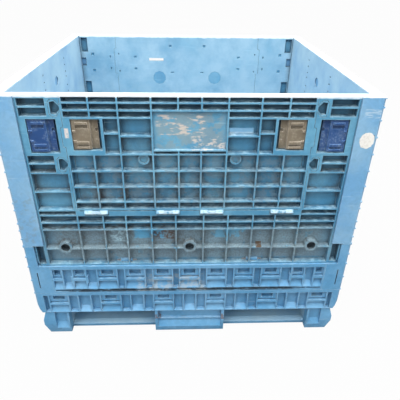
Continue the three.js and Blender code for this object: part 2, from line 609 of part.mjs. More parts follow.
/** Folding wall with jambs, drop-door opening, latch pockets and ribbed sill. */
function makeFoldingWall(level, plain) {
  const section = toSolid(prismAlongX(
    wallSection(WALL_FACE, WALL_INNER, level), -WALL_HALF, WALL_HALF));
  const corner = arc(WALL_HALF - TAB_RADIUS, level + TAB_RADIUS, TAB_RADIUS, -Math.PI / 2, 0);
  const half = [...corner, [WALL_HALF, HEIGHT + OVERCUT]];
  const outline = [...half, ...[...half].reverse().map(([x, z]) => [-x, z])];
  const trim = toSolid(prismAlongY(outline, WALL_FACE - OVERCUT, WALL_INNER + OVERCUT));
  const slab = toGeometry(section.intersect(trim));

  const layer = WALL_FACE + DOOR_LAYER + SEAT_GAP;
  const top = HEIGHT + OVERCUT;
  const cuts = [
    prismAlongY(doorOutline(SEAM_GAP, top), WALL_FACE - OVERCUT, layer),
    prismAlongY(doorBackOutline(SEAM_GAP, top), layer - OVERCUT, WALL_INNER + OVERCUT),
    block(-DOOR_HALF + DOOR_CORNER, DOOR_HALF - DOOR_CORNER, WALL_FACE - OVERCUT,
      WALL_INNER + OVERCUT, DOOR_SILL_LEVEL, DOOR_BOTTOM),
  ];
  const jambOuter = FLANGE_EDGE - 7;
  const jambLines = [RIM_BAND + 2, ...JAMB_RIBS_FROM_TOP].map((line) => HEIGHT - line);
  const [j0, j1, j2, j3, j4, j5] = jambLines;
  const tongueSide = DOOR_HALF + TONGUE_REACH + SEAM_GAP + RIB + 3;
  const seamSide = DOOR_HALF + SEAM_GAP + 7;
  const rows = [
    [j1, j0, tongueSide], [j2, j1, tongueSide], [j4, j3, tongueSide],
    [j5, j4, tongueSide],
  ];
  const jambFoot = JAMB_RIBS_FROM_SILL.map((line) => DOOR_SILL_LEVEL + line);
  const sillTop = jambFoot[0];
  const footLines = [...jambFoot.filter((line) => line < j5 - 2 * RIB), j5];
  for (const [z0, z1] of spans(footLines, 0)) {
    rows.push([z0, z1, seamSide]);
  }
  const sillLines = SILL_RIBS.map((line) => DOOR_SILL_LEVEL - line);
  const tallLines = [level + BOTTOM_RIB - RIB / 2, level + TALL_RIB, sillLines[2]];
  for (const side of [-1, 1]) {
    for (const [z0, z1, x0] of rows) {
      cuts.push(pocket(WALL_FACE, side * x0, side * jambOuter, z0 + RIB / 2, z1 - RIB / 2,
        WALL_POCKET_DEPTH));
    }
    cuts.push(latchPocket(side, WALL_LATCH_OUTER, WALL_LATCH_POCKET_HEIGHT));
    cuts.push(boltSlot(side, WALL_LATCH_OUTER - OVERCUT, WALL_HALF + OVERCUT));
    cuts.push(boltSlot(side, DOOR_HALF, DOOR_BOLT_TIP + 2));
    const half = KEEPER_HEIGHT / 2 + 3;
    cuts.push(block(side * (KEEPER_TIP - 2), side * (WALL_HALF + OVERCUT),
      WALL_FACE + BOLT_DEPTH[1], WALL_INNER + OVERCUT, BOLT_LEVEL - half, BOLT_LEVEL + half));
    const tabTop = SIDE_FOLD_LEVEL - 2;
    cuts.push(pocket(WALL_FACE, side * (FLANGE_EDGE + 4), side * (WALL_HALF - RIB),
      level + BOTTOM_RIB + 3, tabTop, WALL_POCKET_DEPTH));
  }
  const uprights = plain ? [SILL_COLUMNS[1], SILL_COLUMNS[3]] : SILL_COLUMNS;
  const columns = spans(mirrored([...uprights, DOOR_HALF, jambOuter + RIB / 2]));
  for (const [x0, x1] of columns) {
    const inJamb = Math.abs(x0 + x1) / 2 > DOOR_HALF;
    const lines = inJamb ? [sillTop, ...sillLines] : sillLines;
    for (const [z0, z1] of [...spans(lines), ...spans(tallLines)]) {
      cuts.push(pocket(WALL_FACE, x0, x1, z0, z1, WALL_POCKET_DEPTH));
    }
  }
  const ladderFoot = SIDE_FOLD_LEVEL + RIB;
  for (let z1 = HEIGHT - 2 * RIB; z1 - LADDER_PITCH > ladderFoot; z1 -= LADDER_PITCH) {
    const z0 = z1 - LADDER_PITCH + RIB;
    const nearBolt = z0 < BOLT_LEVEL + KEEPER_HEIGHT && z1 > BOLT_LEVEL - KEEPER_HEIGHT;
    if (!nearBolt) {
      for (const side of [-1, 1]) {
        cuts.push(block(side * (WALL_HALF - RIB), side * (WALL_HALF - RIB - LADDER_WIDTH),
          WALL_INNER - LADDER_DEPTH, WALL_INNER + OVERCUT, z0, z1));
      }
    }
  }
  const lateAdditions = [];
  const lateCuts = [];
  const portZ = FRONT_FOLD_LEVEL + PORT_LEVEL;
  const floor = WALL_FACE + WALL_POCKET_DEPTH;
  for (const x of [-PORT_OFFSET, 0, PORT_OFFSET]) {
    lateAdditions.push(barAlongY(PORT_RADIUS, x, WALL_FACE, floor + 2, portZ));
    lateCuts.push(barAlongY(PORT_BORE, x, WALL_FACE - OVERCUT, floor - 2, portZ));
  }
  lateCuts.push(...innerHoles(WALL_INNER, mirroredHoles(JAMB_HOLES)));
  lateCuts.push(...mirrored(WALL_HINGE_OFFSETS).flatMap((x) => hingeSeat(x, WALL_INNER, level)));
  for (const side of [-1, 1]) {
    for (const centre of DOOR_HINGE_OFFSETS) {
      const leaves = hingeSpans(side * centre);
      const room = KNUCKLE_RADIUS + 2;
      const y1 = DOOR_AXIS_Y + room + 4;
      lateCuts.push(block(leaves[0][0] - 1, leaves[2][1] + 1, WALL_FACE - OVERCUT, y1,
        DOOR_AXIS_Z - room - 2, DOOR_SILL_LEVEL + OVERCUT));
    }
  }
  const slabWithCuts = makeBody([slab], cuts, lateAdditions, lateCuts);
  const knuckles = [];
  const bores = [];
  for (const side of [-1, 1]) {
    for (const centre of DOOR_HINGE_OFFSETS) {
      const [x0, x1] = hingeSpans(side * centre)[1];
      const room = KNUCKLE_RADIUS + 2;
      const back = DOOR_AXIS_Y + room + 8;
      const round = arc(DOOR_AXIS_Y, DOOR_AXIS_Z, KNUCKLE_RADIUS, -Math.PI / 2, -1.5 * Math.PI, 4);
      const profile = [[back, DOOR_AXIS_Z - KNUCKLE_RADIUS], ...round,
        [back, DOOR_AXIS_Z + KNUCKLE_RADIUS]];
      knuckles.push(prismAlongX(profile, x0, x1));
      bores.push(barAlongX(BORE_RADIUS, x0 - 1, x1 + 1, DOOR_AXIS_Y, DOOR_AXIS_Z));
    }
  }
  return makeBody([slabWithCuts, ...knuckles], bores);
}

/** Sliding latch on one side: slab, raised pad, finger bar, grips and bolt. */
function makeLatch(side, outer, height, tip) {
  const top = HEIGHT - LATCH_POCKET_TOP - LATCH_MARGIN;
  const bottom = HEIGHT - LATCH_POCKET_TOP - height + LATCH_MARGIN;
  const edge = outer - END_GAP;
  const back = WALL_FACE + WALL_POCKET_DEPTH - SEAT_GAP;
  const inner = edge - LATCH_WIDTH;
  const at = (a, b, y0, y1, z0, z1) => block(side * a, side * b, y0, y1, z0, z1);
  const padFront = WALL_FACE + BOLT_DEPTH[0];
  const padInner = edge - LATCH_PAD_WIDTH;
  const half = BOLT_HEIGHT / 2;
  const additions = [
    at(inner, edge, back - 8, back, bottom, top),
    at(padInner, edge, padFront, back - 4, bottom, top),
    at(padInner + 6, edge - 4, padFront - 4, padFront + 2, top - 17, top - 8),
    at(padInner + 8, edge - 10, padFront - 3, padFront + 2, bottom + 17, bottom + 24),
    at(padInner + 8, edge - 10, padFront - 2, padFront + 2, bottom + 5, bottom + 10),
    at(edge - 12, tip, padFront, WALL_FACE + BOLT_DEPTH[1], BOLT_LEVEL - half, BOLT_LEVEL + half),
  ];
  return makeBody(additions);
}

/** Corner chamfers between the ribs of a side face, as three-cornered bars. */
function cornerChamfers(halfSpan, face, lines) {
  const cuts = [];
  for (const side of [-1, 1]) {
    const outline = [
      [side * (halfSpan - CORNER_CHAMFER), face - OVERCUT],
      [side * (halfSpan + OVERCUT), face - OVERCUT],
      [side * (halfSpan + OVERCUT), face + CORNER_CHAMFER],
    ];
    for (const [z0, z1] of spans(lines)) {
      cuts.push(prismAlongZ(outline, z0, z1));
    }
  }
  return cuts;
}

/** Rib levels of a side wall: the lower ones from its foot, the rest from its rim. */
function sideRibLevels(level) {
  const lower = SIDE_RIBS_FROM_BOTTOM.map((line) => level + line);
  const upper = SIDE_RIBS_FROM_TOP.map((line) => HEIGHT - line);
  const clear = Math.max(...lower) + 4 * RIB;
  return [level + BOTTOM_RIB - RIB / 2, ...lower, ...upper.filter((line) => line > clear),
    HEIGHT - RIM_BAND + RIB / 2];
}

/** Side wall with flanges that wrap the ends of the front and back walls. */
function makeSideWall(side) {
  const face = -HALF_LENGTH;
  const inner = -SIDE_INNER;
  const level = SIDE_FOLD_LEVEL;
  const additions = [
    prismAlongX(wallSection(face, inner, level), -HALF_WIDTH, HALF_WIDTH),
  ];
  const lines = sideRibLevels(level);
  const cuts = cornerChamfers(HALF_WIDTH, face, [...lines, level - RIB]);
  const columns = spans(mirrored([...SIDE_COLUMNS, HALF_WIDTH - SIDE_END_BAND]));
  for (const [x0, x1] of columns) {
    for (const [z0, z1] of spans(lines)) {
      cuts.push(pocket(face, x0, x1, z0, z1, SIDE_POCKET_DEPTH));
    }
  }
  const [width, height] = SIDE_HOLE_SIZE;
  cuts.push(...innerHoles(inner, SIDE_HOLES.flatMap(({ y, fromTop }) => fromTop.map((drop) => (
    { x: side * y, fromTop: drop, width, height })))));
  const grip = new THREE.CylinderGeometry(1, 1, HOLE_DEPTH + OVERCUT, 2 * ROUND_SEGMENTS)
    .scale(GRIP_RADII[0], 1, GRIP_RADII[1])
    .translate(side * GRIP_FROM_MIDDLE, inner - (HOLE_DEPTH - OVERCUT) / 2, HEIGHT - GRIP_FROM_TOP);
  cuts.push(grip);
  for (const end of [-1, 1]) {
    const x1 = end * HALF_WIDTH;
    const x0 = end * (HALF_WIDTH - FLANGE_THICKNESS);
    additions.push(block(x0, x1, inner - WALL_AXIS_INSET, -FLANGE_EDGE, level + 3, HEIGHT));
    const boltBack = -WALL_FACE - BOLT_DEPTH[1] - SEAT_GAP;
    additions.push(block(end * boltBack, end * (boltBack - KEEPER_THICKNESS), inner - 1,
      -KEEPER_TIP, BOLT_LEVEL - KEEPER_HEIGHT / 2, BOLT_LEVEL + KEEPER_HEIGHT / 2));
  }
  const lateCuts = mirrored(WALL_HINGE_OFFSETS).flatMap((x) => hingeSeat(x, inner, level));
  return makeBody(additions, cuts, [], lateCuts);
}

const END_CELLS = [
  ['narrow', 40], ['slotted', 79], ['narrow', 39.5], ['wide', 51.5], ['narrow', 39],
  ['slotted', 81], ['narrow', 38], ['wide', 50],
];
const SIDE_CELLS = [['wide', 119], ['wide', 130], ['wide', 119]];
const RAIL_UPRIGHTS = [39, 66, 142, 172, 249, 279, 355, 398, 448, 487, 526];
const RAIL_KINDS = [
  'narrow', 'slotted', 'narrow', 'slotted', 'narrow', 'slotted', 'wide', 'slotted', 'wide', 'slotted',
];
const BRACKET_BETWEEN = [398, 448];
const BRACKET_REACH = 7;
const BRACKET_CHEEK = 5;
const BRACKET_RISE = 11;
const MIDDLE_CELL = 50;
const END_CELL = 76.5;
const END_MARGIN = 22.5;
const EDGE_POST = 29.5;

/** Cells along a skirt from one corner to the other: kind, start and end. */
function skirtCells(halfSpan, cells) {
  const right = [];
  let x = MIDDLE_CELL / 2;
  const endStart = halfSpan - EDGE_POST - END_MARGIN - END_CELL;
  for (const [kind, width] of cells) {
    if (x + width <= endStart + 1) {
      right.push([kind, x, x + width]);
      x += width;
    }
  }
  if (endStart - x > 2 * RIB) {
    right.push(['narrow', x, endStart]);
  }
  right.push([cells[1][0], endStart, endStart + END_CELL]);
  right.push(['narrow', endStart + END_CELL, endStart + END_CELL + END_MARGIN]);
  const left = right.map(([kind, a, b]) => [kind, -b, -a]);
  return [...left, ['wide', -MIDDLE_CELL / 2, MIDDLE_CELL / 2], ...right];
}

/** Recesses of one cell of a skirt or sill between two levels. */
function cellCuts(kind, face, x0, x1, z0, z1) {
  const height = z1 - z0;
  const a = x0 + RIB / 2;
  const b = x1 - RIB / 2;
  if (kind === 'narrow') {
    return [pocket(face, a, b, z0, z1, CELL_DEPTH)];
  }
  if (kind === 'wide') {
    return [pocket(face, a, b, z0, z1, CELL_DEPTH, CELL_SLOPE)];
  }
  const middle = (x0 + x1) / 2;
  const half = Math.min(HOLD_WIDTH, b - a - 2 * RIB) / 2;
  const [slitLow, slitHigh] = SLIT_SHARES.map((share) => z0 + height * share);
  return [
    pocket(face, a, b, slitLow, z1, LEDGE_DEPTH, 0),
    pocket(face, a, b, slitLow, slitHigh, SLOT_DEPTH, 0),
    pocket(face, middle - half, middle + half, slitHigh + HOLD_FROM_SLIT, z1, HOLD_DEPTH),
    pocket(face, a, b, z0, z0 + height * LEDGE_SHARE, SLOT_DEPTH, LEDGE_SLOPE),
  ];
}

/** All recesses along one face. */
function skirtCuts(halfSpan, face, z0, z1, cells, limit = halfSpan) {
  return skirtCells(halfSpan, cells)
    .filter(([, x0, x1]) => Math.max(Math.abs(x0), Math.abs(x1)) <= limit)
    .flatMap(([kind, x0, x1]) => cellCuts(kind, face, x0, x1, z0, z1));
}

/** Outline of the footprint with chamfered corners. */
function footprint(inset = 0) {
  const x = HALF_LENGTH - inset;
  const y = HALF_WIDTH - inset;
  const c = CORNER_CHAMFER;
  return [
    [-x + c, -y], [x - c, -y], [x, -y + c], [x, y - c],
    [x - c, y], [-x + c, y], [-x, y - c], [-x, -y + c],
  ];
}

/** Outward profile of a foot in (distance, z), ending at the skirt. */
function footProfile(outer, inner, bulge, waist, toe) {
  const top = FORK_CLEARANCE + 2;
  return [
    [inner, 0], [outer - toe, 0], [outer - bulge, FORK_CLEARANCE * 0.4],
    [outer - bulge, FORK_CLEARANCE * 0.62], [outer - waist, FORK_CLEARANCE], [outer - waist, top],
    [inner, top],
  ];
}

/** Corner foot: two profiles crossed, with a recess in its front face. */
function cornerFoot(sx, sy) {
  const alongY = toSolid(prismAlongY(
    footProfile(HALF_LENGTH, HALF_LENGTH - CORNER_FOOT_LENGTH, FOOT_BULGE, FOOT_WAIST, FOOT_TOE)
      .map(([x, z]) => [sx * x, z]),
    -HALF_WIDTH - 1, HALF_WIDTH + 1));
  const alongX = toSolid(prismAlongX(
    footProfile(HALF_WIDTH, HALF_WIDTH - CORNER_FOOT_DEPTH, 1, 4, 6)
      .map(([y, z]) => [sy * y, z]),
    -HALF_LENGTH - 1, HALF_LENGTH + 1));
  return toGeometry(alongY.intersect(alongX));
}

/** Middle foot on the front or back edge, or on a side edge when turned. */
function middleFoot(halfSpan, bulge) {
  const profile = footProfile(halfSpan, halfSpan - MIDDLE_FOOT_DEPTH, bulge, bulge + 3, bulge + 5);
  return prismAlongX(profile.map(([y, z]) => [-y, z]), -MIDDLE_FOOT_WIDTH / 2, MIDDLE_FOOT_WIDTH / 2);
}

/** Runner along one edge of the ground frame. */
function runner(halfSpan, reach) {
  const y0 = -halfSpan + RUNNER_SETBACK;
  const y1 = y0 + RUNNER_WIDTH;
  const b = RUNNER_BEVEL;
  const h = RUNNER_HEIGHT;
  const section = [[y0, 0], [y1, 0], [y1, h - b / 2], [y1 - b, h], [y0 + 2 * b, h], [y0, h - b]];
  return prismAlongX(section, -reach, reach);
}

/** Pallet base: deck with skirt, feet, ground runners and a ribbed underside. */
function makeBase() {
  const additions = [prismAlongZ(footprint(), FORK_CLEARANCE, BASE_HEIGHT)];
  const floorX = SIDE_INNER;
  const floorY = -WALL_INNER;
  const cuts = [block(-floorX, floorX, -floorY, floorY, FLOOR_LEVEL, BASE_HEIGHT + 1)];
  const [chamferIn, chamferUp] = SKIRT_CHAMFER;
  for (const side of [-1, 1]) {
    const wedge = [
      [side * (HALF_LENGTH + 1), FORK_CLEARANCE - 1],
      [side * (HALF_LENGTH - chamferIn), FORK_CLEARANCE - 1],
      [side * (HALF_LENGTH + 0.5), FORK_CLEARANCE + chamferUp],
      [side * (HALF_LENGTH + 1), FORK_CLEARANCE + chamferUp],
    ];
    cuts.push(prismAlongY(wedge, -HALF_WIDTH - 1, HALF_WIDTH + 1));
  }
  const z0 = FORK_CLEARANCE + 3;
  const z1 = BASE_HEIGHT - SKIRT_CAP;
  const front = skirtCuts(HALF_LENGTH, -HALF_WIDTH, z0, z1, END_CELLS);
  const side = skirtCuts(HALF_WIDTH, -HALF_LENGTH, z0, z1, SIDE_CELLS);
  const back = skirtCuts(HALF_LENGTH, -HALF_WIDTH, z0, z1, SIDE_CELLS);
  cuts.push(...front, ...turned(back, Math.PI));
  cuts.push(...turned(side, Math.PI / 2), ...turned(side, -Math.PI / 2));

  const lateAdditions = [];
  const lateCuts = [];
  for (const sx of [-1, 1]) {
    for (const sy of [-1, 1]) {
      lateAdditions.push(cornerFoot(sx, sy));
      const recessOuter = HALF_LENGTH - 60;
      const recessInner = HALF_LENGTH - CORNER_FOOT_LENGTH + 7;
      const recess = pocket(-HALF_WIDTH, sx * recessInner, sx * recessOuter, 18,
        FORK_CLEARANCE - 2, FOOT_RECESS, 34);
      lateCuts.push(sy < 0 ? recess : recess.rotateZ(Math.PI));
    }
  }
  for (const [halfSpan, bulge, angles] of [
    [HALF_WIDTH, 1, [0, Math.PI]],
    [HALF_LENGTH, FOOT_BULGE, [Math.PI / 2, -Math.PI / 2]],
  ]) {
    const foot = middleFoot(halfSpan, bulge);
    const half = MIDDLE_FOOT_WIDTH / 2 - 11;
    const face = -halfSpan + bulge;
    const upper = pocket(face, -half, half, 62, FORK_CLEARANCE - 2, FOOT_RECESS + 4, 6);
    const lower = pocket(face, -half, half, 18, 66, FOOT_RECESS, 30);
    lateAdditions.push(...angles.flatMap((angle) => turned([foot], angle)));
    lateCuts.push(...angles.flatMap((angle) => turned([upper, lower], angle)));
  }
  const block0 = MIDDLE_FOOT_WIDTH / 2;
  lateAdditions.push(block(-block0, block0, -block0, block0, 0, FORK_CLEARANCE + 2));
  const frontRunner = runner(HALF_WIDTH, HALF_LENGTH - RUNNER_SETBACK - 8);
  const sideRunner = runner(HALF_LENGTH, HALF_WIDTH - RUNNER_SETBACK - 8);
  lateAdditions.push(...turned([frontRunner], 0), ...turned([frontRunner], Math.PI));
  lateAdditions.push(...turned([sideRunner], Math.PI / 2), ...turned([sideRunner], -Math.PI / 2));

  const cellTop = FLOOR_LEVEL - FLOOR_SKIN;
  const edgeX = floorX - 14;
  const edgeY = floorY - 14;
  const countX = Math.round(2 * edgeX / DECK_RIB_PITCH);
  const countY = Math.round(2 * edgeY / DECK_RIB_PITCH);
  const inFoot = (x0, x1, y0, y1) => {
    const ax = Math.min(Math.abs(x0), Math.abs(x1));
    const bx = Math.max(Math.abs(x0), Math.abs(x1));
    const ay = Math.min(Math.abs(y0), Math.abs(y1));
    const by = Math.max(Math.abs(y0), Math.abs(y1));
    const outerX = bx > HALF_LENGTH - CORNER_FOOT_LENGTH - 4;
    const outerY = by > HALF_WIDTH - CORNER_FOOT_DEPTH - 4;
    const crossX = x0 * x1 <= 0 || ax < block0;
    const crossY = y0 * y1 <= 0 || ay < block0;
    return (outerX || crossX) && (outerY || crossY);
  };
  for (let i = 0; i < countX; i += 1) {
    for (let j = 0; j < countY; j += 1) {
      const stepX = 2 * edgeX / countX;
      const stepY = 2 * edgeY / countY;
      const x0 = -edgeX + i * stepX + RIB / 2;
      const x1 = x0 + stepX - RIB;
      const y0 = -edgeY + j * stepY + RIB / 2;
      const y1 = y0 + stepY - RIB;
      if (!inFoot(x0, x1, y0, y1)) {
        lateCuts.push(block(x0, x1, y0, y1, FORK_CLEARANCE - 1, cellTop));
      }
    }
  }
  return makeBody(additions, cuts, lateAdditions, lateCuts);
}

/** Cells along the front rail: kind, start and end. */
function railCells() {
  const right = RAIL_KINDS.map((kind, i) => [kind, RAIL_UPRIGHTS[i], RAIL_UPRIGHTS[i + 1]]);
  const left = right.map(([kind, a, b]) => [kind, -b, -a]);
  return [...left, ['slotted', -RAIL_UPRIGHTS[0], RAIL_UPRIGHTS[0]], ...right];
}

/** Bar with a cheek at each end, which bridges one cell of the front rail. */
function bracket(side, z0, z1) {
  const low = z0 + (z1 - z0) * LEDGE_SHARE;
  const high = z0 + (z1 - z0) * SLIT_SHARES[0];
  const back = -HALF_WIDTH + CELL_DEPTH + 1;
  const [x0, x1] = [BRACKET_BETWEEN[0] - BRACKET_REACH, BRACKET_BETWEEN[1] + BRACKET_REACH];
  const at = (a, b, below, above) => block(side * a, side * b, -HALF_WIDTH, back, below, above);
  return [
    at(x0, x1, low, high),
    at(x0, x0 + BRACKET_CHEEK, low - BRACKET_RISE, high + BRACKET_RISE),
    at(x1 - BRACKET_CHEEK, x1, low - BRACKET_RISE, high + BRACKET_RISE),
  ];
}

/** Rail between the corner posts that carries the hinge lugs of a folding wall. */
function makeRail(level, plain) {
  const half = FLANGE_EDGE - RAIL_INSET;
  const bottom = BASE_HEIGHT + SEAT_GAP;
  const top = level - SEAT_GAP;
  const additions = [block(-half, half, -HALF_WIDTH, WALL_INNER, bottom, top)];
  const z0 = BASE_HEIGHT + RAIL_FOOT;
  const z1 = FRONT_FOLD_LEVEL - SILL_CAP;
  const cuts = plain
    ? skirtCuts(HALF_LENGTH, -HALF_WIDTH, z0, z1, SIDE_CELLS, half - RIB / 2)
    : railCells().flatMap(([kind, a, b]) => cellCuts(kind, -HALF_WIDTH, a, b, z0, z1));
  const dividers = GROOVE_DIVIDERS.filter((x) => x < half - GROOVE_DIVIDERS[0] / 2);
  const grooveCuts = spans([...mirrored([...dividers, half - 3]), 0], 4)
    .map(([x0, x1]) => pocket(-HALF_WIDTH, x0, x1, BASE_HEIGHT + GROOVE_LEVELS[0],
      BASE_HEIGHT + GROOVE_LEVELS[1], SLOT_DEPTH, 0));
  if (level > FRONT_FOLD_LEVEL) {
    const lines = mirrored([SILL_COLUMNS[1], SILL_COLUMNS[3], half]);
    for (const [x0, x1] of spans(lines)) {
      cuts.push(pocket(-HALF_WIDTH, x0, x1, FRONT_FOLD_LEVEL, level - BOTTOM_RIB, CELL_DEPTH));
    }
  }
  const lugs = mirrored(WALL_HINGE_OFFSETS).map((x) => hingeLug(x, WALL_INNER, level));
  const brackets = plain ? [] : [-1, 1].flatMap((side) => bracket(side, z0, z1));
  return makeBody(additions, [...cuts, ...grooveCuts],
    [...brackets, ...lugs.map((lug) => lug.addition)], lugs.map((lug) => lug.cut));
}

/** Sill of one side with the smooth posts that wrap the corners. */
function makeRiser(side) {
  const bottom = BASE_HEIGHT + SEAT_GAP;
  const top = SIDE_FOLD_LEVEL - SEAT_GAP;
  const at = (a, b, y0, y1, z0, z1) => block(side * a, side * b, y0, y1, z0, z1);
  const additions = [at(SIDE_INNER, HALF_LENGTH, -HALF_WIDTH, HALF_WIDTH, bottom, top)];
  const cuts = [];
  const postInner = FLANGE_EDGE - RAIL_INSET + SEAT_GAP;
  for (const [sy, level] of [[-1, FRONT_FOLD_LEVEL], [1, BACK_FOLD_LEVEL]]) {
    additions.push(at(postInner, SIDE_INNER + 1, sy * HALF_WIDTH, sy * -WALL_INNER,
      bottom, level - SEAT_GAP));
    cuts.push(at(HALF_LENGTH - 32, HALF_LENGTH - 28, sy * (HALF_WIDTH - 12),
      sy * (HALF_WIDTH + 1), BASE_HEIGHT + 26, FRONT_FOLD_LEVEL - 29));
  }
  const sideCuts = skirtCuts(HALF_WIDTH, -HALF_LENGTH, BASE_HEIGHT + RAIL_FOOT,
    FRONT_FOLD_LEVEL - SILL_CAP, SIDE_CELLS);
  const upperLines = mirrored([SIDE_COLUMNS[0], 2 * SIDE_COLUMNS[0], HALF_WIDTH - SIDE_END_BAND]);
  for (const [x0, x1] of spans(upperLines)) {
    sideCuts.push(pocket(-HALF_LENGTH, x0, x1, FRONT_FOLD_LEVEL, SIDE_FOLD_LEVEL - BOTTOM_RIB,
      CELL_DEPTH));
  }
  const chamfers = cornerChamfers(HALF_WIDTH, -HALF_LENGTH, [
    BASE_HEIGHT, BASE_HEIGHT + 66, FRONT_FOLD_LEVEL, FRONT_FOLD_LEVEL + FOLD_PITCH, SIDE_FOLD_LEVEL,
  ]);
  const angle = side * Math.PI / 2;
  cuts.push(...turned([...sideCuts, ...chamfers], angle));
  const lugs = mirrored(WALL_HINGE_OFFSETS).map((x) => hingeLug(x, -SIDE_INNER, SIDE_FOLD_LEVEL));
  return makeBody(additions, cuts, turned(lugs.map((lug) => lug.addition), angle),
    turned(lugs.map((lug) => lug.cut), angle));
}

const bulkBox = new THREE.Group();

/** Adds one named piece, turned about the vertical axis. */
function addPiece(name, geometry, finish, angle = 0) {
  const mesh = new THREE.Mesh(geometry, new THREE.MeshStandardMaterial(finish));
  mesh.name = name;
  mesh.rotation.z = angle;
  bulkBox.add(mesh);
}

addPiece('base', makeBase(), SKY_BLUE);
addPiece('left_riser', makeRiser(-1), SKY_BLUE);
addPiece('right_riser', makeRiser(1), SKY_BLUE);

const SIDE_TURNS = [['left', -1], ['right', 1]];
for (const [name, side] of SIDE_TURNS) {
  const angle = side * Math.PI / 2;
  addPiece(`${name}_wall`, makeSideWall(side), PALE_BLUE, angle);
  for (const [i, x] of mirrored(WALL_HINGE_OFFSETS).entries()) {
    addPiece(`${name}_wall_pin_${i + 1}`, makeWallPin(x, -SIDE_INNER, SIDE_FOLD_LEVEL), STEEL, angle);
  }
}

const END_TURNS = [
  ['front', 0, FRONT_FOLD_LEVEL, false],
  ['back', Math.PI, BACK_FOLD_LEVEL, true],
];
for (const [name, angle, level, plain] of END_TURNS) {
  addPiece(`${name}_rail`, makeRail(level, plain), SKY_BLUE, angle);
  addPiece(`${name}_wall`, makeFoldingWall(level, plain), GREY_BLUE, angle);
  addPiece(`${name}_door`, makeDoor(plain), GREY_BLUE, angle);
  for (const [i, x] of mirrored(WALL_HINGE_OFFSETS).entries()) {
    addPiece(`${name}_wall_pin_${i + 1}`, makeWallPin(x, WALL_INNER, level), STEEL, angle);
  }
  for (const [i, centre] of mirrored(DOOR_HINGE_OFFSETS).entries()) {
    const half = DOOR_HINGE_WIDTH / 2 - 2;
    const pin = barAlongX(PIN_RADIUS, centre - half, centre + half, DOOR_AXIS_Y, DOOR_AXIS_Z);
    addPiece(`${name}_door_pin_${i + 1}`, pin, STEEL, angle);
  }
  for (const [sideName, side] of [['left', -1], ['right', 1]]) {
    addPiece(`${name}_wall_latch_${sideName}`,
      makeLatch(side, WALL_LATCH_OUTER, WALL_LATCH_POCKET_HEIGHT, WALL_BOLT_TIP), NAVY, angle);
    addPiece(`${name}_door_latch_${sideName}`,
      makeLatch(side, DOOR_LATCH_OUTER, DOOR_LATCH_POCKET_HEIGHT, DOOR_BOLT_TIP), TAUPE, angle);
  }
}

export default bulkBox;
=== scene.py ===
"""Looks of a folding bulk pallet box in weathered blue polyethylene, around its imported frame."""

from __future__ import annotations

import json
import logging
import math
import random
from dataclasses import dataclass, field
from enum import Enum

import bmesh
import bpy
from mathutils import Matrix, Vector

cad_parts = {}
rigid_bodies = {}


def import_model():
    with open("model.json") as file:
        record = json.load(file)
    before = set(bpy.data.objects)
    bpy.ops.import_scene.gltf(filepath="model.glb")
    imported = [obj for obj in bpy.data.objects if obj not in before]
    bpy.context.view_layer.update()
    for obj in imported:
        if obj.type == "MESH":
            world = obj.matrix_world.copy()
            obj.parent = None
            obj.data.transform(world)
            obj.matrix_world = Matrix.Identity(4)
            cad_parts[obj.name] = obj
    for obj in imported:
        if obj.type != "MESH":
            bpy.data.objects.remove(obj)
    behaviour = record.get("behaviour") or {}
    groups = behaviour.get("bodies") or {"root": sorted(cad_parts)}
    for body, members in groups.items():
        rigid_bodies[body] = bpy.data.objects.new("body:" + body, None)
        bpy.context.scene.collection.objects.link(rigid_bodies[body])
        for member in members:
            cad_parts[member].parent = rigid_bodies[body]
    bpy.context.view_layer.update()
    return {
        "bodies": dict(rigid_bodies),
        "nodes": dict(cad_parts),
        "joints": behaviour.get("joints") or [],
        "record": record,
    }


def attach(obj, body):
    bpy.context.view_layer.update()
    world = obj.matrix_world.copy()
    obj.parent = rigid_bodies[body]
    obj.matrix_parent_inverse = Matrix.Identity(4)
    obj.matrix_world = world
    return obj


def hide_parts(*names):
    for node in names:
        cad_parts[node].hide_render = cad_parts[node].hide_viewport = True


LOG = logging.getLogger("bulk_box")

MM = 0.001
IMAGE_SIZE = 400
SENSOR = 36.0
FRONT_FACING = (0, -1, 0)
AHEAD, BEHIND = -600, -500

Point = tuple[float, float, float]
Span = tuple[float, float, float, float]
Tree = bpy.types.NodeTree
Socket = bpy.types.NodeSocket
Inputs = dict[str | int, object]


class End(Enum):
    """A long wall of the box, with its turn about the vertical."""

    FRONT = ("front", 0.0)
    BACK = ("back", math.pi)

    @property
    def label(self) -> str:
        """Word that the wall's nodes start with."""
        return self.value[0]

    @property
    def turn(self) -> float:
        """Turn about the vertical from the front's place, in radians."""
        return self.value[1]


class Side(Enum):
    """Left or right half of a wall, seen from outside."""

    LEFT = ("left", -1)
    RIGHT = ("right", 1)

    @property
    def label(self) -> str:
        """Word that the half's nodes end with."""
        return self.value[0]

    @property
    def sign(self) -> int:
        """Sign of X on that half of the front wall."""
        return self.value[1]


def linear(code: str) -> tuple[float, float, float, float]:
    """Turn an sRGB hex value into a linear colour.

    Args:
        code: Colour such as "#5f9fd6".

    Returns:
        Linear red, green, blue and an alpha of 1.
    """
    parts = [int(code[i : i + 2], 16) / 255 for i in (1, 3, 5)]
    curve = [c / 12.92 if c <= 0.04045 else ((c + 0.055) / 1.055) ** 2.4 for c in parts]
    return (curve[0], curve[1], curve[2], 1.0)


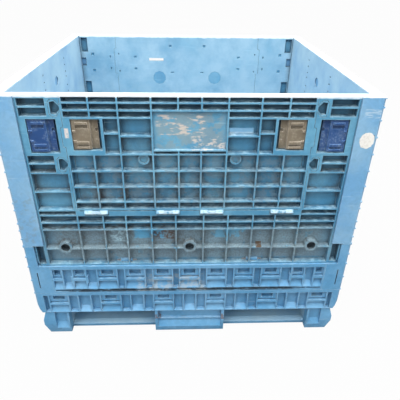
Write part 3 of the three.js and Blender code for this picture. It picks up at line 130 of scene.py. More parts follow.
def add(tree: Tree, kind: str, inputs: Inputs | None = None, **settings: object) -> bpy.types.Node:
    """Add a node with its settings, values and links.

    Args:
        tree: Node tree that gets the node.
        kind: Blender's type name of the node.
        inputs: Value or linked output socket for each input, by name or number.
        settings: Properties of the node.

    Returns:
        The new node.
    """
    node = tree.nodes.new(kind)
    for name, value in settings.items():
        setattr(node, name, value)
    for key, value in (inputs or {}).items():
        if isinstance(value, bpy.types.NodeSocket):
            tree.links.new(value, node.inputs[key])
        else:
            node.inputs[key].default_value = value
    return node


COORDS = "ShaderNodeTexCoord"
MAPPING = "ShaderNodeMapping"
GEOMETRY = "ShaderNodeNewGeometry"
OCCLUSION = "ShaderNodeAmbientOcclusion"
SPLIT = "ShaderNodeSeparateXYZ"
MATH = "ShaderNodeMath"
VECTOR_MATH = "ShaderNodeVectorMath"
RANGE = "ShaderNodeMapRange"
NOISE = "ShaderNodeTexNoise"
BUMP = "ShaderNodeBump"
PRINCIPLED = "ShaderNodeBsdfPrincipled"
MIX = "ShaderNodeMix"
MIX_FACTOR, MIX_A, MIX_B, MIX_RESULT = 0, 6, 7, 2

# How far around a point its pockets and its crevices are felt, in mm.
POCKET_REACH, CREVICE_REACH = 60, 7
# Planes in the walls' thickness, from the box's centre, that part inner from outer faces, in mm.
INNER_FACES = (("X", 572.5), ("Y", 534.5))


def blank_material(name: str) -> tuple[bpy.types.Material, Tree]:
    """Start a material without nodes.

    Args:
        name: Name of the material.

    Returns:
        The material and its node tree.
    """
    made = bpy.data.materials.new(name)
    made.use_nodes = True
    made.node_tree.nodes.clear()
    return made, made.node_tree


@dataclass(frozen=True)
class Stain:
    """Dirt, dust or scuffed paint that covers part of one place on a moulding.

    Attributes:
        centre: Middle of the place, in mm.
        half: Half its size along each axis, in mm.
        colour: sRGB hex value of what lies there.
        strength: Opacity where it lies, from 0 to 1.
        grain: Size of its blotches, in mm.
        cover: Share of the place that it covers, from 0 to 1.
        stretch: How much longer its blotches are along X.
        sunken: Whether it lies only in recesses.
    """

    centre: Point
    half: Point
    colour: str
    strength: float
    grain: float
    cover: float
    stretch: float = 1.0
    sunken: bool = False


@dataclass(frozen=True)
class WeatheredFoam:
    """High-density polyethylene, structural-foam moulded.

    Gas in the melt leaves a swirled, slightly rough skin. Years outside bleach it unevenly, rubbing
    pales its edges, and grit stays in every pocket. Painted shade darkens the pockets and creases,
    and painted highlights pale the edges, the faces that look up and the rim.
    """

    name: str
    colour: str
    bleached: str
    grime: str
    grime_share: float
    rim_level: float = 990.0
    # Pale rim colour: bleached plastic with a painted highlight.
    rim_colour: str = "#eaf2f7"
    # Pale colour of rubbed edges and scrapes; on edges it also stands for painted highlights.
    worn: str = "#a9c4d4"
    # Pale dust on faces that look up, which also stands for painted top light.
    dust: str = "#9db3bf"
    # Dark blue painted in as shade deep in the pockets and creases, and its strongest share.
    depth_tone: str = "#16324a"
    depth_share: float = 0.85
    inside: str = "#a0c2d4"
    roughness: float = 0.52
    stains: tuple[Stain, ...] = ()

    def material(self) -> bpy.types.Material:
        """Build the procedural material.

        Returns:
            The finished material.
        """
        made, tree = blank_material(self.name)
        skin = FoamSkin(self, tree)
        rough = add(tree, RANGE, {"Value": skin.dirt, "To Min": self.roughness, "To Max": 0.86})
        shader = add(
            tree,
            PRINCIPLED,
            {
                "Base Color": skin.colour,
                "Roughness": rough.outputs["Result"],
                "Normal": skin.relief(),
                "IOR": 1.51,
            },
        )
        add(tree, "ShaderNodeOutputMaterial", {"Surface": shader.outputs["BSDF"]})
        return made


class FoamSkin:
    """Layers of colour on a foam moulding, from the bare plastic up to the scuffs.

    Attributes:
        finish: The finish that the skin has.
        tree: Node tree of the material.
        place: Object coordinates.
        normal: Surface normal in the object's own axes.
        recess: 1 deep in a pocket, 0 on an open face.
        colour: Colour after the layers so far.
        dirt: How much grime lies at a point.
    """

    def __init__(self, finish: WeatheredFoam, tree: Tree) -> None:
        """Lay all the layers.

        Args:
            finish: The finish that the skin has.
            tree: Node tree of the material.
        """
        coords = add(tree, COORDS)
        self.finish = finish
        self.tree = tree
        self.place = coords.outputs["Object"]
        self.normal = coords.outputs["Normal"]
        self.recess = self.pockets()
        self.colour = self.bleached_plastic()
        self.pale_inside()
        self.deepen()
        self.wear_edges()
        self.dust_ledges()
        self.dirt = self.settle_grime()
        for stain in finish.stains:
            self.add_stain(stain)
        self.scuff()
        self.bleach_rim()

    def pockets(self) -> Socket:
        """Find pockets and inner corners, from how much of the surroundings a point sees.

        Returns:
            1 deep in a pocket, 0 on an open face.
        """
        seen = add(self.tree, OCCLUSION, {"Distance": POCKET_REACH * MM}, samples=8)
        return add(
            self.tree,
            RANGE,
            {
                "Value": seen.outputs["AO"],
                "From Min": 0.3,
                "From Max": 0.9,
                "To Min": 1.0,
                "To Max": 0.0,
            },
            interpolation_type="SMOOTHSTEP",
        ).outputs["Result"]

    def bleached_plastic(self) -> Socket:
        """Mix the plastic's own blue with its sun-bleached tone in clouds, and add the foam's swirls.

        Returns:
            The plastic's colour.
        """
        clouds = add(
            self.tree,
            NOISE,
            {"Vector": self.place, "Scale": 1 / (190 * MM), "Detail": 4.0, "Roughness": 0.6},
        )
        share = add(
            self.tree,
            RANGE,
            {"Value": clouds.outputs["Fac"], "From Min": 0.36, "From Max": 0.66},
            interpolation_type="SMOOTHSTEP",
        )
        mixed = add(
            self.tree,
            MIX,
            {
                MIX_FACTOR: share.outputs["Result"],
                MIX_A: linear(self.finish.colour),
                MIX_B: linear(self.finish.bleached),
            },
            data_type="RGBA",
        )
        swirl = add(
            self.tree,
            NOISE,
            {
                "Vector": self.place,
                "Scale": 1 / (22 * MM),
                "Detail": 5.0,
                "Roughness": 0.65,
                "Distortion": 1.4,
            },
        )
        value = add(
            self.tree,
            RANGE,
            {
                "Value": swirl.outputs["Fac"],
                "From Min": 0.25,
                "From Max": 0.75,
                "To Min": 0.88,
                "To Max": 1.1,
            },
        )
        return add(
            self.tree,
            "ShaderNodeHueSaturation",
            {"Color": mixed.outputs[MIX_RESULT], "Value": value.outputs["Result"]},
        ).outputs["Color"]

    def patchy(self, share: Socket, size: float, detail: float, roughness: float, span: Span) -> Socket:
        """Break a layer up into patches.

        Args:
            share: How much of the layer lies at a point.
            size: Size of the patches, in mm.
            detail: Octaves in their outline.
            roughness: Raggedness of their outline, from 0 to 1.
            span: Noise levels where a patch starts and is full, then the shares that stay there.

        Returns:
            The share in patches.
        """
        clouds = add(
            self.tree,
            NOISE,
            {"Vector": self.place, "Scale": 1 / (size * MM), "Detail": detail, "Roughness": roughness},
        )
        kept = add(
            self.tree,
            RANGE,
            {
                "Value": clouds.outputs["Fac"],
                "From Min": span[0],
                "From Max": span[1],
                "To Min": span[2],
                "To Max": span[3],
            },
        )
        return add(
            self.tree, MATH, {0: share, 1: kept.outputs["Result"]}, operation="MULTIPLY"
        ).outputs["Value"]

    def pale_inside(self) -> None:
        """Pale the faces round the load space, where the sun reaches and no grime holds."""
        reach = add(self.tree, VECTOR_MATH, {0: self.place}, operation="ABSOLUTE")
        axes = add(self.tree, SPLIT, {"Vector": reach.outputs["Vector"]})
        outward = [
            add(
                self.tree,
                RANGE,
                {
                    "Value": axes.outputs[axis],
                    "From Min": (level - 1) * MM,
                    "From Max": (level + 1) * MM,
                    "To Min": 1.0,
                    "To Max": 0.0,
                },
            ).outputs["Result"]
            for axis, level in INNER_FACES
        ]
        within = add(self.tree, MATH, {0: outward[0], 1: outward[1]}, operation="MULTIPLY")
        share = self.patchy(within.outputs["Value"], 130, 5.0, 0.6, (0.35, 0.62, 0.45, 1.0))
        self.colour = add(
            self.tree,
            MIX,
            {MIX_FACTOR: share, MIX_A: self.colour, MIX_B: linear(self.finish.inside)},
            data_type="RGBA",
        ).outputs[MIX_RESULT]

    def deepen(self) -> None:
        """Paint shade far inside the pockets and in narrow creases, as a dark blue mixed into the colour.
        """
        pocket = add(
            self.tree,
            RANGE,
            {
                "Value": self.recess,
                "From Min": 0.38,
                "From Max": 0.98,
                "To Max": self.finish.depth_share,
            },
        )
        near = add(self.tree, OCCLUSION, {"Distance": CREVICE_REACH * MM}, samples=6)
        crevice = add(
            self.tree,
            RANGE,
            {"Value": near.outputs["AO"], "From Min": 0.55, "From Max": 0.15, "To Max": 0.9},
        )
        share = add(
            self.tree,
            MATH,
            {0: pocket.outputs["Result"], 1: crevice.outputs["Result"]},
            operation="MAXIMUM",
        )
        self.colour = add(
            self.tree,
            MIX,
            {
                MIX_FACTOR: share.outputs["Value"],
                MIX_A: self.colour,
                MIX_B: linear(self.finish.depth_tone),
            },
            data_type="RGBA",
        ).outputs[MIX_RESULT]

    def wear_edges(self) -> None:
        """Pale the rubbed edges of ribs and rims, which also stands for painted edge highlights."""
        rounded = add(self.tree, "ShaderNodeBevel", {"Radius": 3.2 * MM}, samples=4)
        flat = add(self.tree, GEOMETRY)
        same = add(
            self.tree,
            VECTOR_MATH,
            {0: rounded.outputs["Normal"], 1: flat.outputs["Normal"]},
            operation="DOT_PRODUCT",
        )
        edge = add(
            self.tree,
            RANGE,
            {"Value": same.outputs["Value"], "From Min": 0.995, "From Max": 0.86},
            interpolation_type="SMOOTHSTEP",
        )
        share = self.patchy(edge.outputs["Result"], 35, 3.0, 0.7, (0.38, 0.6, 0.12, 0.85))
        self.colour = add(
            self.tree,
            MIX,
            {MIX_FACTOR: share, MIX_A: self.colour, MIX_B: linear(self.finish.worn)},
            data_type="RGBA",
        ).outputs[MIX_RESULT]

    def dust_ledges(self) -> None:
        """Lay pale dust on faces that look up, which also paints them lighter as if lit from above."""
        up = add(self.tree, SPLIT, {"Vector": self.normal})
        level = add(
            self.tree,
            RANGE,
            {"Value": up.outputs["Z"], "From Min": 0.35, "From Max": 0.9},
            interpolation_type="SMOOTHSTEP",
        )
        share = self.patchy(level.outputs["Result"], 28, 5.0, 0.7, (0.42, 0.62, 0.05, 0.6))
        self.colour = add(
            self.tree,
            MIX,
            {MIX_FACTOR: share, MIX_A: self.colour, MIX_B: linear(self.finish.dust)},
            data_type="RGBA",
        ).outputs[MIX_RESULT]

    def settle_grime(self) -> Socket:
        """Settle grime and grit in the pockets.

        Returns:
            How much grime lies at a point.
        """
        film = add(
            self.tree,
            NOISE,
            {"Vector": self.place, "Scale": 1 / (55 * MM), "Detail": 8.0, "Roughness": 0.72},
        )
        film_share = add(
            self.tree,
            RANGE,
            {
                "Value": film.outputs["Fac"],
                "From Min": 0.62 - 0.3 * self.finish.grime_share,
                "From Max": 0.68,
            },
            interpolation_type="SMOOTHSTEP",
        )
        lying = self.patchy(film_share.outputs["Result"], 5.5, 2.0, 0.8, (0.5, 0.7, 0.35, 1.0))
        share = add(self.tree, MATH, {0: lying, 1: self.recess}, operation="MULTIPLY")
        self.colour = add(
            self.tree,
            MIX,
            {MIX_FACTOR: share.outputs["Value"], MIX_A: self.colour, MIX_B: linear(self.finish.grime)},
            data_type="RGBA",
        ).outputs[MIX_RESULT]
        return share.outputs["Value"]

    def add_stain(self, stain: Stain) -> None:
        """Lay one stain over the colour.

        Args:
            stain: What lies there, and where.
        """
        scale = [1 / (h * MM) for h in stain.half]
        centred = add(
            self.tree,
            MAPPING,
            {
                "Vector": self.place,
                "Scale": scale,
                "Location": [-c * MM * s for c, s in zip(stain.centre, scale)],
            },
        )
        reach = add(self.tree, VECTOR_MATH, {0: centred.outputs["Vector"]}, operation="ABSOLUTE")
        axes = add(self.tree, SPLIT, {"Vector": reach.outputs["Vector"]})
        wide = add(self.tree, MATH, {0: axes.outputs["X"], 1: axes.outputs["Y"]}, operation="MAXIMUM")
        far = add(self.tree, MATH, {0: wide.outputs["Value"], 1: axes.outputs["Z"]}, operation="MAXIMUM")
        inside = add(
            self.tree,
            RANGE,
            {"Value": far.outputs["Value"], "From Min": 1.0, "From Max": 0.8},
            interpolation_type="SMOOTHSTEP",
        )
        drawn = add(self.tree, MAPPING, {"Vector": self.place, "Scale": (1 / stain.stretch, 1.0, 1.0)})
        blotches = add(
            self.tree,
            NOISE,
            {
                "Vector": drawn.outputs["Vector"],
                "Scale": 1 / (stain.grain * MM),
                "Detail": 6.0,
                "Roughness": 0.68,
            },
        )
        edge = 0.68 - 0.36 * stain.cover
        lying = add(
            self.tree,
            RANGE,
            {
                "Value": blotches.outputs["Fac"],
                "From Min": edge - 0.03,
                "From Max": edge + 0.05,
                "To Max": stain.strength,
            },
            interpolation_type="SMOOTHSTEP",
        )
        share = add(
            self.tree,
            MATH,
            {0: lying.outputs["Result"], 1: inside.outputs["Result"]},
            operation="MULTIPLY",
        )
        if stain.sunken:
            share = add(
                self.tree, MATH, {0: share.outputs["Value"], 1: self.recess}, operation="MULTIPLY"
            )
        self.colour = add(
            self.tree,
            MIX,
            {MIX_FACTOR: share.outputs["Value"], MIX_A: self.colour, MIX_B: linear(stain.colour)},
            data_type="RGBA",
        ).outputs[MIX_RESULT]

    def scuff(self) -> None:
        """Draw long pale scrapes from forks and neighbouring boxes."""
        drawn = add(
            self.tree,
            MAPPING,
            {"Vector": self.place, "Rotation": (0.0, math.radians(6), 0.0), "Scale": (0.05, 0.4, 1.0)},
        )
        lines = add(
            self.tree,
            NOISE,
            {"Vector": drawn.outputs["Vector"], "Scale": 1 / (7 * MM), "Detail": 3.0, "Roughness": 0.55},
        )
        share = add(
            self.tree,
            RANGE,
            {"Value": lines.outputs["Fac"], "From Min": 0.66, "From Max": 0.76, "To Max": 0.5},
        )
        self.colour = add(
            self.tree,
            MIX,
            {MIX_FACTOR: share.outputs["Result"], MIX_A: self.colour, MIX_B: linear(self.finish.worn)},
            data_type="RGBA",
        ).outputs[MIX_RESULT]

    def bleach_rim(self) -> None:
        """Pale the top rim nearly white: the sun and stacked boxes have bleached it, and a painted
        highlight takes it the rest of the way.
        """
        axes = add(self.tree, SPLIT, {"Vector": self.place})
        ragged = add(
            self.tree,
            NOISE,
            {"Vector": self.place, "Scale": 1 / (40 * MM), "Detail": 4.0, "Roughness": 0.6},
        )
        shifted = add(
            self.tree,
            MATH,
            {0: ragged.outputs["Fac"], 1: 10 * MM, 2: axes.outputs["Z"]},
            operation="MULTIPLY_ADD",
        )
        share = add(
            self.tree,
            RANGE,
            {
                "Value": shifted.outputs["Value"],
                "From Min": (self.finish.rim_level + 11) * MM,
                "From Max": (self.finish.rim_level + 15) * MM,
                "To Max": 0.88,
            },
            interpolation_type="SMOOTHSTEP",
        )
        self.colour = add(
            self.tree,
            MIX,
            {
                MIX_FACTOR: share.outputs["Result"],
                MIX_A: self.colour,
                MIX_B: linear(self.finish.rim_colour),
            },
            data_type="RGBA",
        ).outputs[MIX_RESULT]

    def relief(self) -> Socket:
        """Give the skin the foam's fine swirled relief and the dirt its crumbs.

        The real grain is under 1 mm, and it is drawn at 3 mm so that it shows.

        Returns:
            The bumped normal.
        """
        grain = add(
            self.tree,
            NOISE,
            {
                "Vector": self.place,
                "Scale": 1 / (3 * MM),
                "Detail": 4.0,
                "Roughness": 0.7,
                "Distortion": 0.6,
            },
        )
        crumbs = add(self.tree, MATH, {0: self.dirt, 1: 1.5, 2: 1.0}, operation="MULTIPLY_ADD")
        height = add(
            self.tree, MATH, {0: grain.outputs["Fac"], 1: crumbs.outputs["Value"]}, operation="MULTIPLY"
        )
        return add(
            self.tree, BUMP, {"Strength": 0.35, "Distance": 0.8 * MM, "Height": height.outputs["Value"]}
        ).outputs["Normal"]


@dataclass(frozen=True)
class LatchNylon:
    """Glass-filled nylon, injection moulded, as on handled parts.

    A satin skin with a spark-eroded stipple, greyed by dust in its corners and pale where fingers and
    boxes rub, the pale edges also standing for painted highlights. The real stipple is under 1 mm, and it
    is drawn at 4 mm so that it shows.
    """

    name: str
    colour: str
    shade: str
    dust: str
    worn: str

    def material(self) -> bpy.types.Material:
        """Build the procedural material.

        Returns:
            The finished material.
        """
        made, tree = blank_material(self.name)
        place = add(tree, COORDS).outputs["Object"]
        clouds = add(
            tree, NOISE, {"Vector": place, "Scale": 1 / (30 * MM), "Detail": 4.0, "Roughness": 0.6}
        )
        base = add(
            tree,
            MIX,
            {MIX_FACTOR: clouds.outputs["Fac"], MIX_A: linear(self.shade), MIX_B: linear(self.colour)},
            data_type="RGBA",
        )
        seen = add(tree, OCCLUSION, {"Distance": 8 * MM}, samples=6)
        specks = add(
            tree, NOISE, {"Vector": place, "Scale": 1 / (6 * MM), "Detail": 5.0, "Roughness": 0.75}
        )
        corner = add(
            tree, RANGE, {"Value": seen.outputs["AO"], "From Min": 0.9, "From Max": 0.4, "To Max": 0.8}
        )
        speck_share = add(
            tree, RANGE, {"Value": specks.outputs["Fac"], "From Min": 0.45, "From Max": 0.62}
        )
        open_share = add(
            tree,
            RANGE,
            {"Value": clouds.outputs["Fac"], "From Min": 0.46, "From Max": 0.6, "To Max": 0.55},
        )
        lying = add(
            tree,
            MATH,
            {0: corner.outputs["Result"], 1: open_share.outputs["Result"]},
            operation="MAXIMUM",
        )
        dust_share = add(
            tree,
            MATH,
            {0: lying.outputs["Value"], 1: speck_share.outputs["Result"]},
            operation="MULTIPLY",
        )
        dusty = add(
            tree,
            MIX,
            {
                MIX_FACTOR: dust_share.outputs["Value"],
                MIX_A: base.outputs[MIX_RESULT],
                MIX_B: linear(self.dust),
            },
            data_type="RGBA",
        )
        # Paler rubbed edges and bars, which also stand for painted highlights.
        rounded = add(tree, "ShaderNodeBevel", {"Radius": 2.8 * MM}, samples=4)
        flat = add(tree, GEOMETRY)
        same = add(
            tree,
            VECTOR_MATH,
            {0: rounded.outputs["Normal"], 1: flat.outputs["Normal"]},
            operation="DOT_PRODUCT",
        )
        edge = add(
            tree,
            RANGE,
            {"Value": same.outputs["Value"], "From Min": 0.99, "From Max": 0.82, "To Max": 0.75},
        )
        worn = add(
            tree,
            MIX,
            {
                MIX_FACTOR: edge.outputs["Result"],
                MIX_A: dusty.outputs[MIX_RESULT],
                MIX_B: linear(self.worn),
            },
            data_type="RGBA",
        )
        stipple = add(tree, "ShaderNodeTexVoronoi", {"Vector": place, "Scale": 1 / (4 * MM)})
        relief = add(
            tree, BUMP, {"Strength": 0.3, "Distance": 0.6 * MM, "Height": stipple.outputs["Distance"]}
        )
        rough = add(tree, RANGE, {"Value": dust_share.outputs["Value"], "To Min": 0.42, "To Max": 0.8})
        shader = add(
            tree,
            PRINCIPLED,
            {
                "Base Color": worn.outputs[MIX_RESULT],
                "Roughness": rough.outputs["Result"],
                "Normal": relief.outputs["Normal"],
                "IOR": 1.53,
            },
        )
        add(tree, "ShaderNodeOutputMaterial", {"Surface": shader.outputs["BSDF"]})
        return made


@dataclass(frozen=True)
class DrawnSteel:
    """Cold-drawn steel rod: fine lines along its length, with brown rust freckles.

    The real lines are 0.1 mm apart, and they are drawn at 0.8 mm so that they show.
    """

    name: str
    colour: str = "#b4b7ba"
    rust: str = "#6d4a33"

    def material(self) -> bpy.types.Material:
        """Build the procedural material.

        Returns:
            The finished material.
        """
        made, tree = blank_material(self.name)
        place = add(tree, COORDS).outputs["Object"]
        freckles = add(
            tree, NOISE, {"Vector": place, "Scale": 1 / (5 * MM), "Detail": 6.0, "Roughness": 0.7}
        )
        share = add(tree, RANGE, {"Value": freckles.outputs["Fac"], "From Min": 0.5, "From Max": 0.62})
        colour = add(
            tree,
            MIX,
            {MIX_FACTOR: share.outputs["Result"], MIX_A: linear(self.colour), MIX_B: linear(self.rust)},
            data_type="RGBA",
        )
        metal = add(tree, RANGE, {"Value": share.outputs["Result"], "To Min": 1.0, "To Max": 0.0})
        rough = add(tree, RANGE, {"Value": share.outputs["Result"], "To Min": 0.32, "To Max": 0.85})
        drawn = add(tree, MAPPING, {"Vector": place, "Scale": (0.05, 1.0, 1.0)})
        lines = add(tree, NOISE, {"Vector": drawn.outputs["Vector"], "Scale": 1 / (0.8 * MM)})
        relief = add(tree, BUMP, {"Strength": 0.2, "Distance": 0.1 * MM, "Height": lines.outputs["Fac"]})
        shader = add(
            tree,
            PRINCIPLED,
            {
                "Base Color": colour.outputs[MIX_RESULT],
                "Metallic": metal.outputs["Result"],
                "Roughness": rough.outputs["Result"],
                "Normal": relief.outputs["Normal"],
            },
        )
        add(tree, "ShaderNodeOutputMaterial", {"Surface": shader.outputs["BSDF"]})
        return made


@dataclass(frozen=True)
class MarkingPaint:
    """Sprayed off-white marking paint: chalky, with worn-through specks and dirt."""

    name: str
    colour: str = "#eceae4"
    dirt: str = "#b9b2a6"

    def material(self) -> bpy.types.Material:
        """Build the procedural material.

        Returns:
            The finished material.
        """
        made, tree = blank_material(self.name)
        place = add(tree, COORDS).outputs["Object"]
        specks = add(
            tree, NOISE, {"Vector": place, "Scale": 1 / (9 * MM), "Detail": 7.0, "Roughness": 0.75}
        )
        share = add(
            tree,
            RANGE,
            {"Value": specks.outputs["Fac"], "From Min": 0.48, "From Max": 0.72, "To Max": 0.85},
        )
        colour = add(
            tree,
            MIX,
            {MIX_FACTOR: share.outputs["Result"], MIX_A: linear(self.colour), MIX_B: linear(self.dirt)},
            data_type="RGBA",
        )
        rough = add(tree, RANGE, {"Value": share.outputs["Result"], "To Min": 0.6, "To Max": 0.9})
        relief = add(
            tree, BUMP, {"Strength": 0.3, "Distance": 0.2 * MM, "Height": specks.outputs["Fac"]}
        )
        shader = add(
            tree,
            PRINCIPLED,
            {
                "Base Color": colour.outputs[MIX_RESULT],
                "Roughness": rough.outputs["Result"],
                "Normal": relief.outputs["Normal"],
                "IOR": 1.48,
            },
        )
        add(tree, "ShaderNodeOutputMaterial", {"Surface": shader.outputs["BSDF"]})
        return made


class Bench:
    """One piece on the bench: a block that is sliced, raised and sunk in edit mode.

    Attributes:
        piece: The object that is being shaped.
    """

    def __init__(self, name: str, low: Point, high: Point) -> None:
        """Start from a block between two corners.

        Args:
            name: Name of the piece.
            low: Lowest corner, in mm.
            high: Highest corner, in mm.
        """
        bpy.ops.object.select_all(action="DESELECT")
        middle = [(a + b) / 2 * MM for a, b in zip(low, high)]
        size = [(b - a) * MM for a, b in zip(low, high)]
        bpy.ops.mesh.primitive_cube_add(size=1.0, location=middle, scale=size)
        self.piece = bpy.context.object
        self.piece.name = name
        self.piece.data.name = name
        bpy.ops.object.transform_apply(location=True, rotation=True, scale=True)

    def slice(self, axis: int, places: list[float]) -> None:
        """Cut edge loops through the piece, square to an axis.

        Args:
            axis: 0, 1 or 2 for X, Y or Z.
            places: Where each cut lies on the axis, in mm.
        """
        normal = [0.0, 0.0, 0.0]
        normal[axis] = 1.0
        bpy.ops.object.mode_set(mode="EDIT")
        for place in places:
            point = [0.0, 0.0, 0.0]
            point[axis] = place * MM
            bpy.ops.mesh.select_all(action="SELECT")
            bpy.ops.mesh.bisect(plane_co=point, plane_no=normal)
        bpy.ops.object.mode_set(mode="OBJECT")

    def pick(self, normal: Point, low: Point, high: Point) -> None:
        """Select the faces that look one way and have their middle between two corners.

        Args:
            normal: Direction that the faces look.
            low: Lowest corner, in mm.
            high: Highest corner, in mm.
        """
        bpy.ops.object.mode_set(mode="EDIT")
        bpy.ops.mesh.select_mode(type="FACE")
        bpy.ops.mesh.select_all(action="DESELECT")
        mesh = bmesh.from_edit_mesh(self.piece.data)
        for face in mesh.faces:
            middle = face.calc_center_median()
            within = all(a * MM <= c <= b * MM for a, c, b in zip(low, middle, high))
            face.select_set(within and face.normal.dot(Vector(normal)) > 0.9)
        bmesh.update_edit_mesh(self.piece.data)

    def pull(self, offset: Point, taper: float = 1.0) -> None:
        """Extrude the picked faces, and narrow the new end.

        Args:
            offset: Travel, in mm.
            taper: Size of the new end against the picked faces.
        """
        bpy.ops.mesh.extrude_region_move(TRANSFORM_OT_translate={"value": [c * MM for c in offset]})
        if taper != 1.0:
            bpy.ops.transform.resize(value=(taper, 1.0, taper))
        bpy.ops.object.mode_set(mode="OBJECT")

    def finish(self, rounding: float) -> bpy.types.Object:
        """Join flat faces, round the edges and shade the piece.

        Args:
            rounding: Width of the rounded edges, in mm.

        Returns:
            The finished piece.
        """
        bpy.ops.object.mode_set(mode="EDIT")
        bpy.ops.mesh.select_all(action="SELECT")
        bpy.ops.mesh.remove_doubles(threshold=1e-6)
        # Sorted, so that each run joins the same faces.
        bpy.ops.mesh.sort_elements(type="CURSOR_DISTANCE", elements={"VERT", "EDGE", "FACE"})
        bpy.ops.mesh.dissolve_limited(angle_limit=math.radians(0.5))
        bpy.ops.mesh.normals_make_consistent(inside=False)
        bpy.ops.object.mode_set(mode="OBJECT")
        bevel = self.piece.modifiers.new("rounding", "BEVEL")
        bevel.width = rounding * MM
        bevel.segments = 2
        bevel.limit_method = "ANGLE"
        bevel.angle_limit = math.radians(35)
        bpy.context.view_layer.objects.active = self.piece
        bpy.ops.object.modifier_apply(modifier=bevel.name)
        bpy.ops.object.shade_smooth_by_angle(angle=math.radians(32))
        return self.piece


def copy_to(piece: bpy.types.Object, name: str, mirror: bool, turn: float) -> bpy.types.Object:
    """Copy a piece with a mesh of its own, mirrored across X or turned about the vertical.

    Args:
        piece: The piece that is copied.
        name: Name of the copy.
        mirror: Whether the copy is mirrored.
        turn: Turn about the vertical axis, in radians.

    Returns:
        The copy, with its place in its mesh.
    """
    bpy.ops.object.select_all(action="DESELECT")
    piece.select_set(True)
    bpy.context.view_layer.objects.active = piece
    bpy.ops.object.duplicate(linked=False)
    made = bpy.context.object
    made.name = name
    made.data.name = name
    made.scale.x = -1.0 if mirror else 1.0
    made.rotation_euler.z = turn
    bpy.ops.object.transform_apply(location=True, rotation=True, scale=True)
    bpy.ops.object.mode_set(mode="EDIT")
    bpy.ops.mesh.select_all(action="SELECT")
    bpy.ops.mesh.normals_make_consistent(inside=False)
    bpy.ops.object.mode_set(mode="OBJECT")
    return made


@dataclass
class Latch:
    """Sliding latch: a pad on a slab, with finger bar, grips, wedges and bolt. Sizes in mm."""

    piece_name: str
    outer: float
    bottom: float
    tip: float
    finish: bpy.types.Material
    slot: str
    top: float = 924.5
    width: float = 81.0
    pad_width: float = 58.0
    back: float = -541.5
    slab: float = 8.0
    pad_front: float = -558.2
    bolt_back: float = -551.2
    bolt_low: float = 857.0
    bolt_high: float = 883.0
    rounding: float = 0.7
    step: float = 6.0
    grip_width: float = 11.0
    grip_rise: float = 3.6
    guide_depth: float = 7.0
    pad_margin: float = 8.0
    guide_margin: float = 9.0

    def build(self) -> bpy.types.Object:
        """Model the latch of the front wall's left half.

        Returns:
            The finished master piece.
        """
        inner = -(self.outer - self.width)
        outer = -self.outer
        pad = -(self.outer - self.pad_width)
        bench = Bench(
            self.piece_name, (outer, self.back - self.slab, self.bottom), (inner, self.back, self.top)
        )
        bench.slice(0, [pad])
        bench.pick(FRONT_FACING, (outer, AHEAD, self.bottom), (pad, BEHIND, self.top))
        bench.pull((0, self.pad_front - self.back + self.slab, 0))
        left, right = outer + self.grip_width, pad - self.pad_margin
        edges = {self.bolt_low, self.bolt_high}
        for low, high, *_ in self.bars() + self.grips():
            edges |= {low, high}
        bench.slice(0, [left, right, pad + self.step, inner - self.guide_margin])
        bench.slice(2, sorted(edges))
        bench.slice(1, [self.bolt_back])
        for low, high, travel, taper in self.bars():
            bench.pick(FRONT_FACING, (left, AHEAD, low), (right, BEHIND, high))
            bench.pull((0, travel, 0), taper)
        for low, high in self.grips():
            bench.pick(FRONT_FACING, (outer, AHEAD, low), (left, BEHIND, high))
            bench.pull((0, -self.grip_rise, 0), 0.7)
        for low, high in ((self.top - 42, self.top - 30), (self.top - 69, self.bolt_low)):
            bench.pick(FRONT_FACING, (inner - self.guide_margin, AHEAD, low), (inner, BEHIND, high))
            bench.pull((0, self.guide_depth, 0), 0.97)
        bench.pick(
            (-1, 0, 0),
            (outer - 1, self.pad_front, self.bolt_low),
            (outer + 1, self.bolt_back, self.bolt_high),
        )
        bench.pull((self.outer - self.tip, 0, 0))
        made = bench.finish(self.rounding)
        made.data.materials.append(self.finish)
        return made

    def bars(self) -> list[tuple[float, float, float, float]]:
        """Finger bar, slots and wedges across the pad.

        Returns:
            Lower edge, upper edge, travel (negative stands out) and taper of each.
        """
        return [
            (self.top - 16, self.top - 8, -4.5, 0.96),
            (self.top - 30, self.top - 17, 6.0, 0.94),
            (self.bottom + 17, self.bottom + 27, -4.0, 0.95),
            (self.bottom + 10, self.bottom + 16, 5.0, 0.96),
            (self.bottom + 2, self.bottom + 9, -3.5, 0.96),
        ]

    def grips(self) -> list[tuple[float, float]]:
        """Small grips on the pad's outer border.

        Returns:
            Lower and upper edge of each.
        """
        return [(self.top - 42, self.top - 35), (self.top - 76, self.top - 69)]


